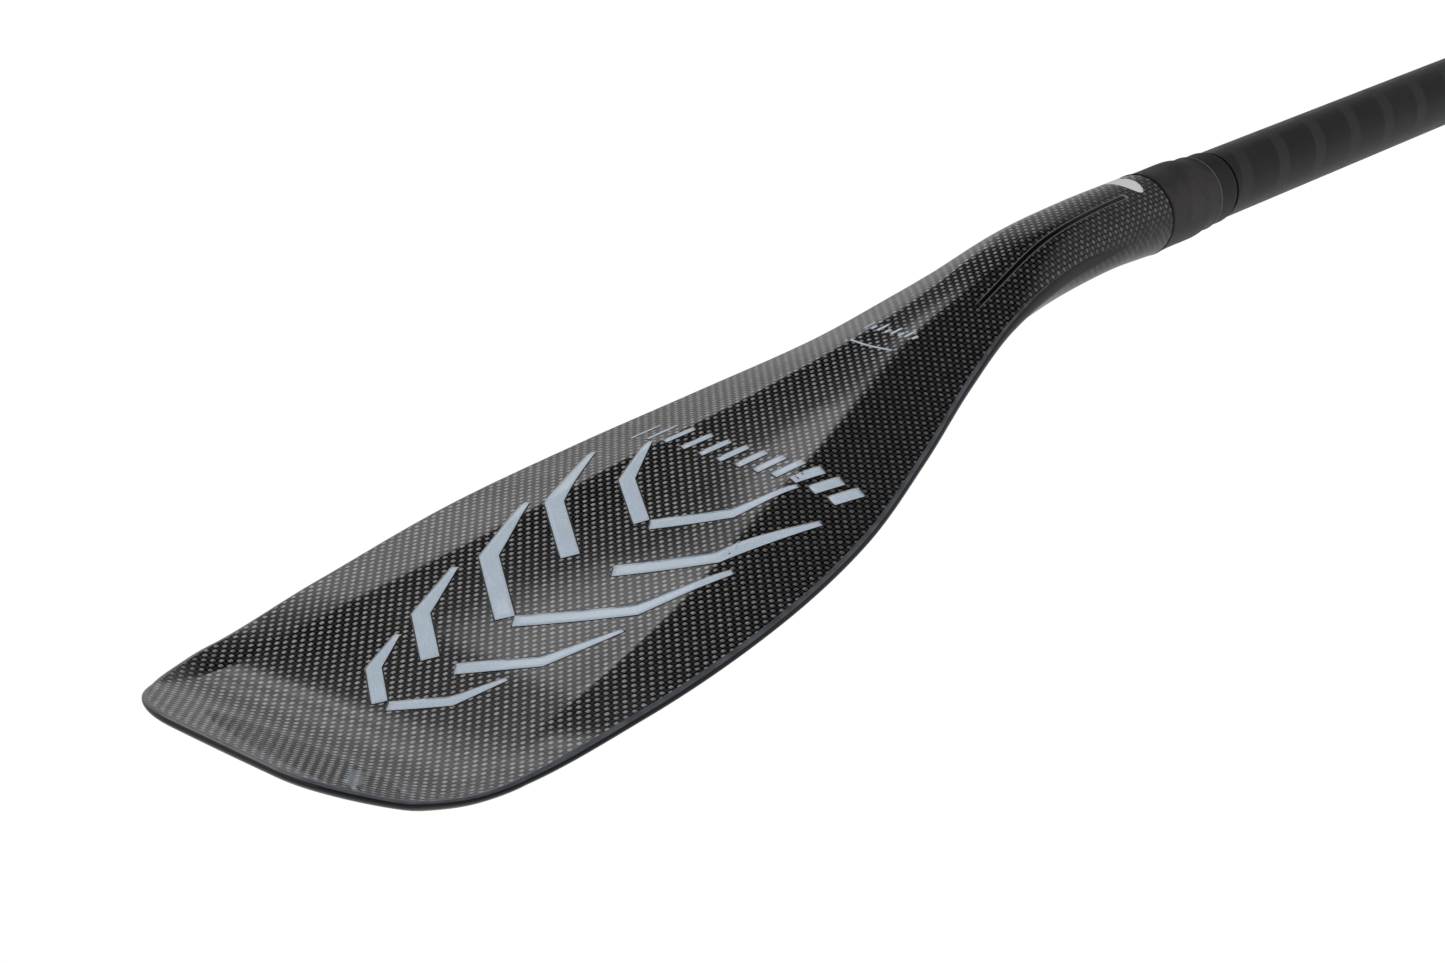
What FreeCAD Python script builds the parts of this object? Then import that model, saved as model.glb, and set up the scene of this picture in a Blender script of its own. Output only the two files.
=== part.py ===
"""Adjustable stand-up paddle with a creased carbon blade, a telescoping shaft and a palm grip.

Frame, in millimetres: +X runs up the shaft axis towards the grip, +Z leaves the power face and
+Y is across the blade. The origin is on the shaft axis at the mouth of the blade's neck, so the
blade lies along -X. "Reach" is the distance from the mouth towards the blade's tip.
"""

import FreeCAD, Part
import math
import os

import Sketcher
from FreeCAD import Placement, Rotation, Vector

DOC = FreeCAD.newDocument("paddle")
SHEET = DOC.addObject("Spreadsheet::Sheet", "Sizes")

# Driving dimensions: alias, value, what it measures.
DIMENSIONS = [
    ("shaft_radius", 14.5, "outside of the lower tube"),
    ("bond_radius", 14.0, "lower tube where it is ground for the neck and its sleeve"),
    ("seat_radius", 14.3, "lower tube where it is ground for the clamp"),
    ("shaft_bore", 13.0, "inside radius of the lower tube"),
    ("shaft_foot", -14.0, "foot of the lower tube, inside the neck"),
    ("bond_end", 52.0, "where the ground foot of the tube ends"),
    ("seat_start", 655.0, "where the ground seat for the clamp starts"),
    ("shaft_top", 745.0, "top of the lower tube"),
    ("inner_radius", 12.95, "outside of the upper tube"),
    ("inner_bore", 11.45, "inside radius of the upper tube"),
    ("inner_foot", 250.0, "foot of the upper tube at rest"),
    ("inner_top", 1290.0, "top of the upper tube at rest"),
    ("groove_floor", 12.2, "height of the groove's floor below the axis"),
    ("groove_width", 3.0, "width of the anti-twist groove"),
    ("sliding_gap", 0.05, "radial gap of every sliding or turning fit"),
    ("glue_gap", 0.1, "radial gap filled by glue"),
    ("touch_gap", 0.02, "gap between faces that rest on each other"),
    ("skin", 0.8, "thickness of the blade's carbon skins"),
    ("blade_edge", 3.0, "thickness of the blade at its edge"),
    ("rail_width", 4.0, "width of the rail between the skins"),
    ("rail_start", 125.0, "reach where the rail begins, on the blade's shoulders"),
    ("core_start", 66.0, "reach where the foam core begins"),
    ("core_gap", 0.4, "gap filled by adhesive around the core"),
    ("dish_slope", 0.075, "slope of the dished panel where it meets the creases"),
    ("dish_fade", 415.0, "reach where the dish starts to fade out"),
    ("dish_fade_length", 53.0, "length over which the dish fades out"),
    ("corner_start", 415.0, "reach where the tip's rounded corners begin"),
    ("tip_flat", 25.0, "half the width of the tip between its corners' curves"),
    ("corner_run_power", 1.7, "power of the corners' curve along the blade; 2 is an ellipse"),
    ("corner_side_power", 2.1, "power of the corners' curve across the blade"),
    ("socket_wall", 0.5, "wall of the ferrule in the neck"),
    ("socket_depth", 16.0, "reach of the ferrule"),
    ("spigot_wall", 2.0, "wall of the spigot that joins neck and tube"),
    ("spigot_depth", 44.0, "reach of the spigot"),
    ("spigot_top", 2.0, "top of the spigot, inside the tube"),
    ("sleeve_start", 0.4, "foot of the shrink sleeve"),
    ("sleeve_radius", 16.7, "shrink sleeve over the neck end"),
    ("sleeve_step", 27.0, "where the shrink sleeve starts to narrow"),
    ("sleeve_waist", 34.0, "where the shrink sleeve has narrowed"),
    ("sleeve_end", 50.0, "top of the shrink sleeve"),
    ("sleeve_wall", 1.1, "wall of the shrink sleeve where it lies on the tube"),
    ("plug_length", 14.0, "length of the plugs in the tubes"),
    ("plug_bevel", 1.5, "bevel of the plug in the lower tube"),
    ("water_plug_foot", 4.0, "foot of the plug in the lower tube"),
    ("clamp_start", 715.0, "foot of the clamp collar"),
    ("clamp_top", 780.0, "top of the clamp collar"),
    ("clamp_radius", 18.5, "outside of the clamp collar"),
    ("collar_bevel", 2.5, "bevel of the clamp collar"),
    ("collar_lip", 1.0, "lip over the liner at the top of the collar"),
    ("collar_gap", 0.3, "radial gap between the collar's lip and the upper tube"),
    ("collar_step", 746.0, "step in the collar above the lower tube"),
    ("liner_radius", 13.6, "outside of the split liner"),
    ("liner_start", 746.5, "foot of the split liner"),
    ("liner_top", 778.8, "top of the split liner"),
    ("rib_gap", 0.1, "gap around the liner's rib in the tube's groove"),
    ("rib_root", 0.3, "how far the rib's root reaches into the liner"),
    ("ear_start", 752.0, "foot of the clamp's ears"),
    ("ear_top", 778.0, "top of the clamp's ears"),
    ("ear_reach", 32.0, "how far the ears stand out from the axis"),
    ("ear_root", 15.5, "distance from the axis at which the ears leave the collar"),
    ("ear_half", 9.5, "half the thickness across both ears"),
    ("slit", 2.0, "width of the collar's slit"),
    ("bolt_station", 765.0, "place of the clamp bolt along the shaft"),
    ("bolt_offset", 25.0, "distance from the shaft axis to the bolt"),
    ("bolt_radius", 2.5, "shank of the clamp bolt"),
    ("bolt_hole_gap", 0.25, "radial gap of the bolt in the ears and the shoe"),
    ("bolt_bevel", 0.5, "bevel of the bolt's head and tip"),
    ("bolt_past_pivot", 3.0, "how far the bolt's tip passes the barrel's axis"),
    ("bolt_head_radius", 4.25, "head of the clamp bolt"),
    ("bolt_head_height", 5.0, "height of the bolt's head"),
    ("hex_radius", 2.3, "corner radius of the bolt's hexagon socket"),
    ("washer_radius", 5.5, "flat washer"),
    ("washer_height", 1.0, "flat washer"),
    ("washer_hole_gap", 0.2, "radial gap of the bolt in the flat washer"),
    ("shoe_floor", 2.0, "thinnest part of the cam shoe"),
    ("shoe_half", 6.5, "half the cam shoe's width"),
    ("shoe_rise", 2.0, "height of the shoe's sides above its thinnest part"),
    ("cam_radius", 7.5, "cam of the lever"),
    ("cam_throw", 1.0, "distance from the pivot to the cam's centre"),
    ("cam_gap", 0.08, "gap under the cam"),
    ("barrel_radius", 4.0, "pivot barrel"),
    ("barrel_length", 22.0, "pivot barrel"),
    ("lever_width", 22.0, "width of the lever along the shaft"),
    ("lever_inside", 20.3, "inside radius of the lever's arm about the shaft"),
    ("lever_outside", 24.8, "outside radius of the lever's arm about the shaft"),
    ("lever_toe", 165.0, "angle of the lever's toe about the shaft, in degrees"),
    ("lever_slot", 6.4, "slot in the lever that clears the bolt"),
    ("grip_centre", 1316.0, "centre of the palm bar along the shaft"),
    ("grip_half", 55.0, "half the width of the palm bar"),
    ("grip_droop", 5.0, "how far the bar's ends fall back towards the blade"),
    ("grip_depth", 12.0, "half the bar's depth along the shaft, at its middle"),
    ("grip_thick", 13.5, "half the bar's thickness, at its middle"),
    ("grip_taper", 0.3, "share of its section that the bar loses at its ends"),
    ("groove_end", 1244.0, "top of the anti-twist groove"),
    ("flange", 12.0, "length of the sliding plug below the upper tube"),
    ("ring_groove_depth", 1.6, "depth of the plug's ring grooves"),
    ("ring_groove_width", 2.0, "width of the plug's ring grooves"),
    ("first_ring_groove", 3.0, "place of the first ring groove along the plug"),
    ("second_ring_groove", 7.0, "place of the second ring groove along the plug"),
    ("ring_tube", 0.78, "radius of a ring's own section"),
    ("ring_gap", 0.03, "radial gap between the rings and the lower tube"),
    ("stem_root", 1252.0, "foot of the grip's stem, inside the tube"),
    ("cover_wall", 1.4, "wall of the soft pad on the grip"),
    ("cover_half", 40.0, "half the width of the soft pad"),
    ("cover_gap", 0.06, "gap between the soft pad and the palm bar"),
    ("cover_trim", 1313.5, "where the soft pad ends along the shaft"),
    ("grip_sleeve_start", 1264.0, "foot of the sleeve under the grip"),
    ("grip_sleeve_wall", 0.8, "wall of the sleeve under the grip"),
]

# Stations along the blade: reach, half width, height of the face at the centre line, fall from
# the centre line to the edge, depth of the back below the edge, half the spacing of the creases.
STATIONS = [
    (0.0, 16.8, 16.8, 16.8, 16.8, 6.0),
    (40.0, 19.4, 16.0, 16.8, 13.8, 6.0),
    (80.0, 22.8, 12.6, 13.5, 16.5, 7.0),
    (120.0, 28.2, 2.3, 9.6, 16.0, 8.0),
    (160.0, 38.6, -7.0, 10.2, 13.0, 11.0),
    (205.0, 54.2, -18.2, 8.8, 9.5, 21.0),
    (255.0, 69.4, -28.9, 7.7, 7.0, 33.0),
    (310.0, 78.0, -41.3, 3.0, 5.0, 44.0),
    (370.0, 78.0, -51.0, 1.0, 3.5, 54.0),
    (430.0, 72.1, -58.7, -3.0, 2.0, 60.0),
    (468.4, 64.5, -47.0, -4.8, 0.8, 62.0),
]
COLUMNS = ["reach", "half_width", "face_height", "edge_fall", "belly", "crease"]
STATION_ROW = 5

# How finely the blade's surfaces are sampled.
ROWS_ALONG = 34
ROWS_CORNER = 14
HALF_COLUMNS = 14

# Degree of the blade's smooth surfaces, and the step over which their slopes are taken.
SMOOTHNESS = 3
SLOPE_STEP = 0.2

# How far a cutting outline runs past the piece that it cuts.
OVERCUT = 1.0


def fill_sheet():
    """Writes the driving dimensions and the blade's stations, each under an alias."""
    for row, (alias, value, note) in enumerate(DIMENSIONS, start=1):
        SHEET.set(f"A{row}", note)
        SHEET.set(f"B{row}", str(value))
        SHEET.setAlias(f"B{row}", alias)
    for column, name in zip("DEFGHI", COLUMNS):
        SHEET.set(f"{column}{STATION_ROW - 1}", name)
        for i, station in enumerate(STATIONS):
            cell = f"{column}{STATION_ROW + i}"
            SHEET.set(cell, str(station[COLUMNS.index(name)]))
            SHEET.setAlias(cell, f"{name}_at_{i}")
    DOC.recompute()


class Size:
    """A length with the sheet expression that drives it."""

    def __init__(self, value, text):
        self.value = value
        self.text = text

    def __add__(self, other):
        other = as_size(other)
        return Size(self.value + other.value, f"({self.text} + {other.text})")

    def __sub__(self, other):
        other = as_size(other)
        return Size(self.value - other.value, f"({self.text} - {other.text})")

    def __mul__(self, other):
        other = as_size(other)
        return Size(self.value * other.value, f"({self.text} * {other.text})")

    def __neg__(self):
        return Size(-self.value, f"(0 - {self.text})")


def as_size(x):
    """x as a Size; a plain number drives itself."""
    return x if isinstance(x, Size) else Size(float(x), str(float(x)))


def size(alias):
    """The driving dimension of that name."""
    return Size(float(SHEET.get(alias)), f"Sizes.{alias}")


def bind(thing, prop, length):
    """Ties a property to the sheet."""
    thing.setExpression(prop, as_size(length).text)


# --- sketches and bodies -------------------------------------------------------------------------


def new_body(name):
    """An empty body whose Label names its file."""
    body = DOC.addObject("PartDesign::Body", name)
    body.Label = name
    return body


def new_sketch(body, name, role, offset=None):
    """A sketch on one of the body's origin planes, moved along the plane's normal by offset."""
    sketch = body.newObject("Sketcher::SketchObject", name)
    plane = next(f for f in body.Origin.OriginFeatures if f.Role == role)
    sketch.AttachmentSupport = [(plane, "")]
    sketch.MapMode = "FlatFace"
    if offset is not None:
        bind(sketch, "AttachmentOffset.Base.z", offset)
    return sketch


def fix_coordinate(sketch, geometry, point, kind, coordinate):
    """Ties one coordinate of a point to the sheet; kind is DistanceX or DistanceY."""
    coordinate = as_size(coordinate)
    constraint = Sketcher.Constraint(kind, geometry, point, coordinate.value)
    index = sketch.addConstraint(constraint)
    sketch.setExpression(f"Constraints[{index}]", coordinate.text)


def fix_point(sketch, geometry, point, x, y):
    """Ties both coordinates of a point to the sheet."""
    fix_coordinate(sketch, geometry, point, "DistanceX", x)
    fix_coordinate(sketch, geometry, point, "DistanceY", y)


def polygon(sketch, corners):
    """A closed outline of straight lines whose corners are tied to the sheet."""
    points = [Vector(as_size(x).value, as_size(y).value, 0) for x, y in corners]
    count = len(points)
    for i in range(count):
        sketch.addGeometry(Part.LineSegment(points[i], points[(i + 1) % count]), False)
    for i in range(count):
        sketch.addConstraint(Sketcher.Constraint("Coincident", i, 2, (i + 1) % count, 1))
    for i, (x, y) in enumerate(corners):
        fix_point(sketch, i, 1, x, y)


def circle(sketch, x, y, radius):
    """A full circle tied to the sheet."""
    radius = as_size(radius)
    centre = Vector(as_size(x).value, as_size(y).value, 0)
    index = sketch.addGeometry(Part.Circle(centre, Vector(0, 0, 1), radius.value), False)
    fix_point(sketch, index, 3, x, y)
    constraint = sketch.addConstraint(Sketcher.Constraint("Radius", index, radius.value))
    sketch.setExpression(f"Constraints[{constraint}]", radius.text)


def ellipse(sketch, x, half_x, half_y):
    """An ellipse on the sketch's first axis, centred at x."""
    x, half_x, half_y = as_size(x), as_size(half_x), as_size(half_y)
    centre = Vector(x.value, 0, 0)
    major = Vector(x.value, max(half_y.value, half_x.value + 0.01), 0)
    minor = Vector(x.value - half_x.value, 0, 0)
    index = sketch.addGeometry(Part.Ellipse(major, minor, centre), False)
    sketch.exposeInternalGeometry(index)
    fix_point(sketch, index, 3, x, 0)
    fix_point(sketch, index + 1, 1, x, half_y)
    fix_coordinate(sketch, index + 2, 1, "DistanceX", x - half_x)


def turned(name, profile):
    """A body of revolution about the shaft axis; profile holds (place along X, radius) pairs."""
    body = new_body(name)
    sketch = new_sketch(body, name + "_profile", "XZ_Plane")
    polygon(sketch, profile)
    turn = body.newObject("PartDesign::Revolution", name + "_turn")
    turn.Profile = sketch
    turn.ReferenceAxis = (sketch, ["H_Axis"])
    turn.Angle = 360
    return body


def pad(body, sketch, length, name, symmetric=True):
    """Extrudes a sketch, about its plane where symmetric."""
    feature = body.newObject("PartDesign::Pad", name)
    feature.Profile = sketch
    feature.SideType = "Symmetric" if symmetric else "One side"
    bind(feature, "Length", length)
    return feature


def cut_through(body, sketch, length, name):
    """Removes a sketch's prism, running length in all about its plane."""
    DOC.recompute()
    before = body.Shape.Volume
    feature = body.newObject("PartDesign::Pocket", name)
    feature.Profile = sketch
    feature.SideType = "Symmetric"
    bind(feature, "Length", length)
    DOC.recompute()
    if body.Shape.Volume >= before:
        raise RuntimeError(f"{name} removed nothing")
    return feature


# --- the blade's surfaces ------------------------------------------------------------------------


def station_column(name):
    """One column of the station table, read from the sheet."""
    return [float(SHEET.get(f"{name}_at_{i}")) for i in range(len(STATIONS))]


class Column:
    """A smooth curve through one column of the station table."""

    def __init__(self, name):
        self.reach = station_column("reach")
        self.value = station_column(name)
        self.slope = [self.tangent(i) for i in range(len(self.reach))]

    def tangent(self, i):
        """The slope at a station, from the stations beside it."""
        low = max(i - 1, 0)
        high = min(i + 1, len(self.reach) - 1)
        return (self.value[high] - self.value[low]) / (self.reach[high] - self.reach[low])

    def __call__(self, reach):
        reach = min(max(reach, self.reach[0]), self.reach[-1])
        i = 0
        while i < len(self.reach) - 2 and reach > self.reach[i + 1]:
            i += 1
        span = self.reach[i + 1] - self.reach[i]
        u = (reach - self.reach[i]) / span
        keep = (1 + 2 * u) * (1 - u) ** 2
        lead = u * (1 - u) ** 2 * span
        trail = -(u**2) * (1 - u) * span
        held = keep * self.value[i] + (1 - keep) * self.value[i + 1]
        return held + lead * self.slope[i] + trail * self.slope[i + 1]


def smooth_step(x):
    """0 below 0, 1 above 1 and level at both ends."""
    x = min(max(x, 0.0), 1.0)
    return x * x * (3 - 2 * x)


class Blade:
    """The blade's outer surfaces, worked out from the stations."""

    NECK_END = 30.0
    BLEND_LENGTH = 130.0
    CREASE_ROUNDING = 0.06
    FALL_ROUNDING = 1.0
    DISH_BORDER = 0.05
    WIDEST_PANEL = 0.9

    def __init__(self):
        self.width_column = Column("half_width")
        self.height = Column("face_height")
        self.fall = Column("edge_fall")
        self.belly = Column("belly")
        self.crease = Column("crease")
        self.length = station_column("reach")[-1]
        self.corner = size("corner_start").value
        self.flat = size("tip_flat").value
        self.run_power = size("corner_run_power").value
        self.side_power = size("corner_side_power").value
        self.edge = size("blade_edge").value
        self.dish_slope = size("dish_slope").value
        self.dish_fade = size("dish_fade").value
        self.dish_fade_length = size("dish_fade_length").value

    def full_width(self, reach):
        """Half the width that the blade's section is shaped on."""
        return self.width_column(min(reach, self.corner))

    def width(self, reach, inset=0.0):
        """Half the width of the outline, rounded at the tip, or of one that lies inside it."""
        if reach <= self.corner:
            return self.width_column(reach) - inset
        share = min((reach - self.corner) / (self.length - inset - self.corner), 1.0)
        round_off = (1 - share**self.run_power) ** (1 / self.side_power)
        return self.flat + (self.full_width(reach) - inset - self.flat) * round_off

    def bladeness(self, reach):
        """0 in the round neck, 1 where the section is a blade."""
        return smooth_step((reach - self.NECK_END) / self.BLEND_LENGTH)

    def seam(self, reach):
        """Height of the parting plane between the two skins."""
        return self.height(reach) - self.fall(reach) - self.edge / 2 * self.bladeness(reach)

    def creased(self, reach, share):
        """1 on the flat panel between the creases, falling straight to 0 at the edge."""
        flat = min(self.crease(reach) / self.full_width(reach), self.WIDEST_PANEL)
        wing = (1 - share) / (1 - flat)
        return 0.5 * (1 + wing - math.hypot(1 - wing, self.CREASE_ROUNDING))

    def dish(self, reach, across):
        """How far the panel between the creases is sunk."""
        crease = self.crease(reach)
        inside = 1 - (across / crease) ** 2
        inside = 0.5 * (inside + math.hypot(inside, self.DISH_BORDER))
        faded = smooth_step((reach - self.dish_fade) / self.dish_fade_length)
        return self.dish_slope / 2 * crease * inside * self.bladeness(reach) * (1 - faded)

    def face(self, reach, across):
        """Height of the power face."""
        share = min(abs(across) / self.full_width(reach), 1.0)
        arch = math.sqrt(1 - share**2)
        mix = self.bladeness(reach)
        kept = (1 - mix) * arch + mix * self.creased(reach, share)
        return self.height(reach) - self.fall(reach) * (1 - kept) - self.dish(reach, across)

    def back(self, reach, across):
        """Height of the back face, which curls up with the edges where they rise at the tip."""
        share = min(abs(across) / self.full_width(reach), 1.0)
        mix = self.bladeness(reach)
        fall = self.fall(reach)
        drop = 0.5 * (fall + math.hypot(fall, self.FALL_ROUNDING))
        curl = (drop - fall) * (1 - self.creased(reach, share))
        arch = (1 - mix) * math.sqrt(1 - share**2) + mix * (1 - share**2) ** 1.5
        edge = self.height(reach) - drop + curl - self.edge * mix
        return edge - self.belly(reach) * arch - self.dish(reach, across)


def reaches(blade, start, end):
    """Reaches from start to end, even along the blade and closing up around the corners."""
    turn = min(blade.corner, end)
    even = [start + (turn - start) * i / ROWS_ALONG for i in range(ROWS_ALONG)]
    corner = []
    for i in range(ROWS_CORNER + 1):
        corner.append(turn + (end - turn) * math.sin(math.pi / 2 * i / ROWS_CORNER))
    return even + corner


def across_shares():
    """Shares of the half width, from one edge to the other, closer together at the edges."""
    count = HALF_COLUMNS
    return [math.sin(math.pi / 2 * i / count) for i in range(-count, count + 1)]


def surface_grid(rows, width, height):
    """Points over the blade: one row for each reach, at the height that height() gives."""
    grid = []
    for reach in rows:
        half = width(reach)
        grid.append([Vector(-reach, half * t, height(reach, half * t)) for t in across_shares()])
    return grid


def inside_grid(rows, width, height, distance):
    """Points a distance inside the surface that height() gives, along its normals.

    A positive distance is below the surface and a negative one above it.
    """
    step = SLOPE_STEP
    grid = []
    for reach in rows:
        half = width(reach)
        line = []
        for share in across_shares():
            across = half * share
            left, right = max(across - step, -half), min(across + step, half)
            before, after = max(reach - step, rows[0]), min(reach + step, rows[-1])
            slope_across = (height(reach, right) - height(reach, left)) / (right - left)
            slope_along = (height(after, across) - height(before, across)) / (after - before)
            normal = Vector(slope_along, -slope_across, 1)
            normal.normalize()
            line.append(Vector(-reach, across, height(reach, across)) - normal * distance)
        grid.append(line)
    return grid


def even_knots(count):
    """Evenly spaced knots, and how often each counts, for a row of count poles."""
    knots = [float(i) for i in range(count - SMOOTHNESS + 1)]
    repeats = [1] * len(knots)
    repeats[0] = repeats[-1] = SMOOTHNESS + 1
    return knots, repeats


def smooth_sheet(grid):
    """A smooth surface that is drawn along a grid of points and ends on the grid's edges."""
    along, along_repeats = even_knots(len(grid))
    across, across_repeats = even_knots(len(grid[0]))
    sheet = Part.BSplineSurface()
    sheet.buildFromPolesMultsKnots(
        grid, along_repeats, across_repeats, along, across, False, False, SMOOTHNESS, SMOOTHNESS
    )
    return sheet


def solid_between(upper, lower):
    """The closed solid between two grids of the same size."""
    sheets = [smooth_sheet(grid) for grid in (upper, lower)]
    faces = [surface.toShape() for surface in sheets]
    u0, u1, v0, v1 = sheets[0].bounds()
    w0, w1, x0, x1 = sheets[1].bounds()
    for first, second in (
        (sheets[0].uIso(u0), sheets[1].uIso(w0)),
        (sheets[0].uIso(u1), sheets[1].uIso(w1)),
        (sheets[0].vIso(v0), sheets[1].vIso(x0)),
        (sheets[0].vIso(v1), sheets[1].vIso(x1)),
    ):
        faces.append(Part.makeRuledSurface(first.toShape(), second.toShape()))
    shell = Part.makeShell(faces)
    shell.sewShape()
    solid = Part.Solid(Part.Shell(shell.Faces))
    if solid.Volume < 0:
        solid.reverse()
    return solid


def shaped(name, shape):
    """A part whose shape is worked out here."""
    part = DOC.addObject("Part::Feature", name)
    part.Label = name
    part.Shape = shape
    part.Placement = Placement(Vector(0, 0, 0), Rotation())
    return part


# Gaps at the skins' seam and around the rail, and heights below and above the whole blade.
SEAM_GAP = 0.04
RAIL_GAP = 0.06
LOWEST = -100.0
HIGHEST = 40.0


def held_off(grid, blade, side):
    """Keeps a neck's grid on one side of the seam; the blade proper has its rail there."""
    kept = []
    for row in grid:
        if blade.bladeness(-row[0].x) == 1:
            kept.append(row)
            continue
        line = []
        for point in row:
            bound = blade.seam(-point.x) + side * SEAM_GAP
            height = max(point.z, bound) if side > 0 else min(point.z, bound)
            line.append(Vector(point.x, point.y, height))
        kept.append(line)
    return kept


def make_skins(blade):
    """The two carbon skins, which meet at the neck's seams and part around the blade's rail."""
    skin = size("skin").value
    rows = reaches(blade, 0.0, blade.length)
    sides = (("power_face_skin", blade.face, 1), ("back_face_skin", blade.back, -1))
    for name, height, side in sides:
        outer = surface_grid(rows, blade.width, height)
        inner = inside_grid(rows, blade.width, height, side * skin)
        outer, inner = (held_off(grid, blade, side) for grid in (outer, inner))
        shaped(name, solid_between(outer, inner))


def make_core(blade):
    """The foam core, clear of the skins and of the rail."""
    clear = size("skin").value + size("core_gap").value
    inset = size("rail_width").value + size("core_gap").value
    rows = reaches(blade, size("core_start").value, blade.length - inset)

    def width(reach):
        return blade.width(reach, inset)

    def upper(reach, across):
        return blade.face(reach, across) - clear

    def lower(reach, across):
        return blade.back(reach, across) + clear

    grids = [surface_grid(rows, width, height) for height in (upper, lower)]
    shaped("foam_core", solid_between(grids[0], grids[1]))


def blade_prism(blade, inset):
    """An upright prism on the blade's outline, drawn in by an inset."""
    rows = reaches(blade, 0.0, blade.length - inset)
    side = [Vector(-reach, blade.width(reach, inset), LOWEST) for reach in rows]
    other = [Vector(point.x, -point.y, point.z) for point in reversed(side)]
    edges = []
    for points in (side, other):
        curve = Part.BSplineCurve()
        knots, repeats = even_knots(len(points))
        curve.buildFromPolesMultsKnots(points, repeats, knots, False, SMOOTHNESS)
        edges.append(curve.toShape())
    tip = Part.makeLine(side[-1], other[0])
    mouth = Part.makeLine(other[-1], side[0])
    outline = Part.Wire([edges[0], tip, edges[1], mouth])
    return Part.Face(outline).extrude(Vector(0, 0, HIGHEST - LOWEST))


def make_rail(blade):
    """The rail around the blade's edge, from one shoulder round the tip to the other."""
    inside = size("skin").value + RAIL_GAP
    start = size("rail_start").value
    rows = [reach for reach in reaches(blade, 0.0, blade.length) if reach >= start]
    upper = inside_grid(rows, blade.width, blade.face, inside)
    lower = inside_grid(rows, blade.width, blade.back, -inside)
    filling = solid_between(upper, lower)
    shaped("edge_rail", filling.cut(blade_prism(blade, size("rail_width").value)))


# --- neck and lower tube -------------------------------------------------------------------------


def make_neck_socket():
    """The ferrule that the shaft is glued into."""
    inside = size("bond_radius") + size("glue_gap")
    outside = inside + size("socket_wall")
    start, end = -size("socket_depth"), -size("socket_wall")
    turned("neck_socket", [(start, inside), (start, outside), (end, outside), (end, inside)])


def make_neck_spigot():
    """The hollow spigot that joins the neck to the tube from inside."""
    outside = size("shaft_bore") - size("glue_gap")
    inside = outside - size("spigot_wall")
    start, end = -size("spigot_depth"), size("spigot_top")
    turned("neck_spigot", [(start, inside), (start, outside), (end, outside), (end, inside)])


def make_lower_shaft():
    """The lower tube, ground a little at its foot and at its top."""
    bore = size("shaft_bore")
    foot, top = size("shaft_foot"), size("shaft_top")
    turned(
        "lower_shaft",
        [
            (foot, bore),
            (foot, size("bond_radius")),
            (size("bond_end"), size("bond_radius")),
            (size("bond_end"), size("shaft_radius")),
            (size("seat_start"), size("shaft_radius")),
            (size("seat_start"), size("seat_radius")),
            (top, size("seat_radius")),
            (top, bore),
        ],
    )


def make_shrink_sleeve():
    """The sleeve over the joint, thick by the neck and thin up the tube."""
    inside = size("bond_radius") + size("sliding_gap")
    thin = inside + size("sleeve_wall")
    start, end = size("sleeve_start"), size("sleeve_end")
    turned(
        "shrink_sleeve",
        [
            (start, inside),
            (start, size("sleeve_radius")),
            (size("sleeve_step"), size("sleeve_radius")),
            (size("sleeve_waist"), thin),
            (end, thin),
            (end, inside),
        ],
    )


def make_water_plug():
    """The plug that keeps water out of the lower tube."""
    outside = size("shaft_bore") - size("glue_gap")
    foot = size("water_plug_foot")
    top = foot + size("plug_length")
    bevel = size("plug_bevel")
    turned(
        "shaft_water_plug",
        [
            (foot, as_size(0)),
            (foot, outside - bevel),
            (foot + bevel, outside),
            (top - bevel, outside),
            (top, outside - bevel),
            (top, as_size(0)),
        ],
    )


# --- clamp ---------------------------------------------------------------------------------------


def make_clamp_body():
    """The collar with its ears, slit and bolt hole."""
    start, top = size("clamp_start"), size("clamp_top")
    step = size("collar_step")
    seat = size("seat_radius") + size("touch_gap")
    liner = size("liner_radius") + size("touch_gap")
    outside = size("clamp_radius")
    mouth = size("inner_radius") + size("collar_gap")
    bevel = size("collar_bevel")
    lip = size("collar_lip")
    body = turned(
        "clamp_body",
        [
            (start, seat),
            (start, outside - bevel),
            (start + bevel, outside),
            (top - bevel, outside),
            (top, outside - bevel),
            (top, mouth),
            (top - lip, mouth),
            (top - lip, liner),
            (step, liner),
            (step, seat),
        ],
    )
    near, far = size("ear_root"), size("ear_reach")
    ears = new_sketch(body, "ears", "XY_Plane")
    polygon(
        ears,
        [
            (size("ear_start"), near),
            (size("ear_top"), near),
            (size("ear_top"), far),
            (size("ear_start"), far),
        ],
    )
    pad(body, ears, size("ear_half") * 2, "ear_pad")
    slit = new_sketch(body, "slit_outline", "XY_Plane")
    within = size("inner_bore") * 0.5
    end = top + OVERCUT
    polygon(
        slit, [(step, within), (end, within), (end, far + OVERCUT), (step, far + OVERCUT)]
    )
    cut_through(body, slit, size("slit"), "slit_cut")
    hole = new_sketch(body, "bolt_hole_outline", "XY_Plane")
    bolt_hole = size("bolt_radius") + size("bolt_hole_gap")
    circle(hole, size("bolt_station"), size("bolt_offset"), bolt_hole)
    cut_through(body, hole, size("ear_half") * 4, "bolt_hole")
    return body


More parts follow.
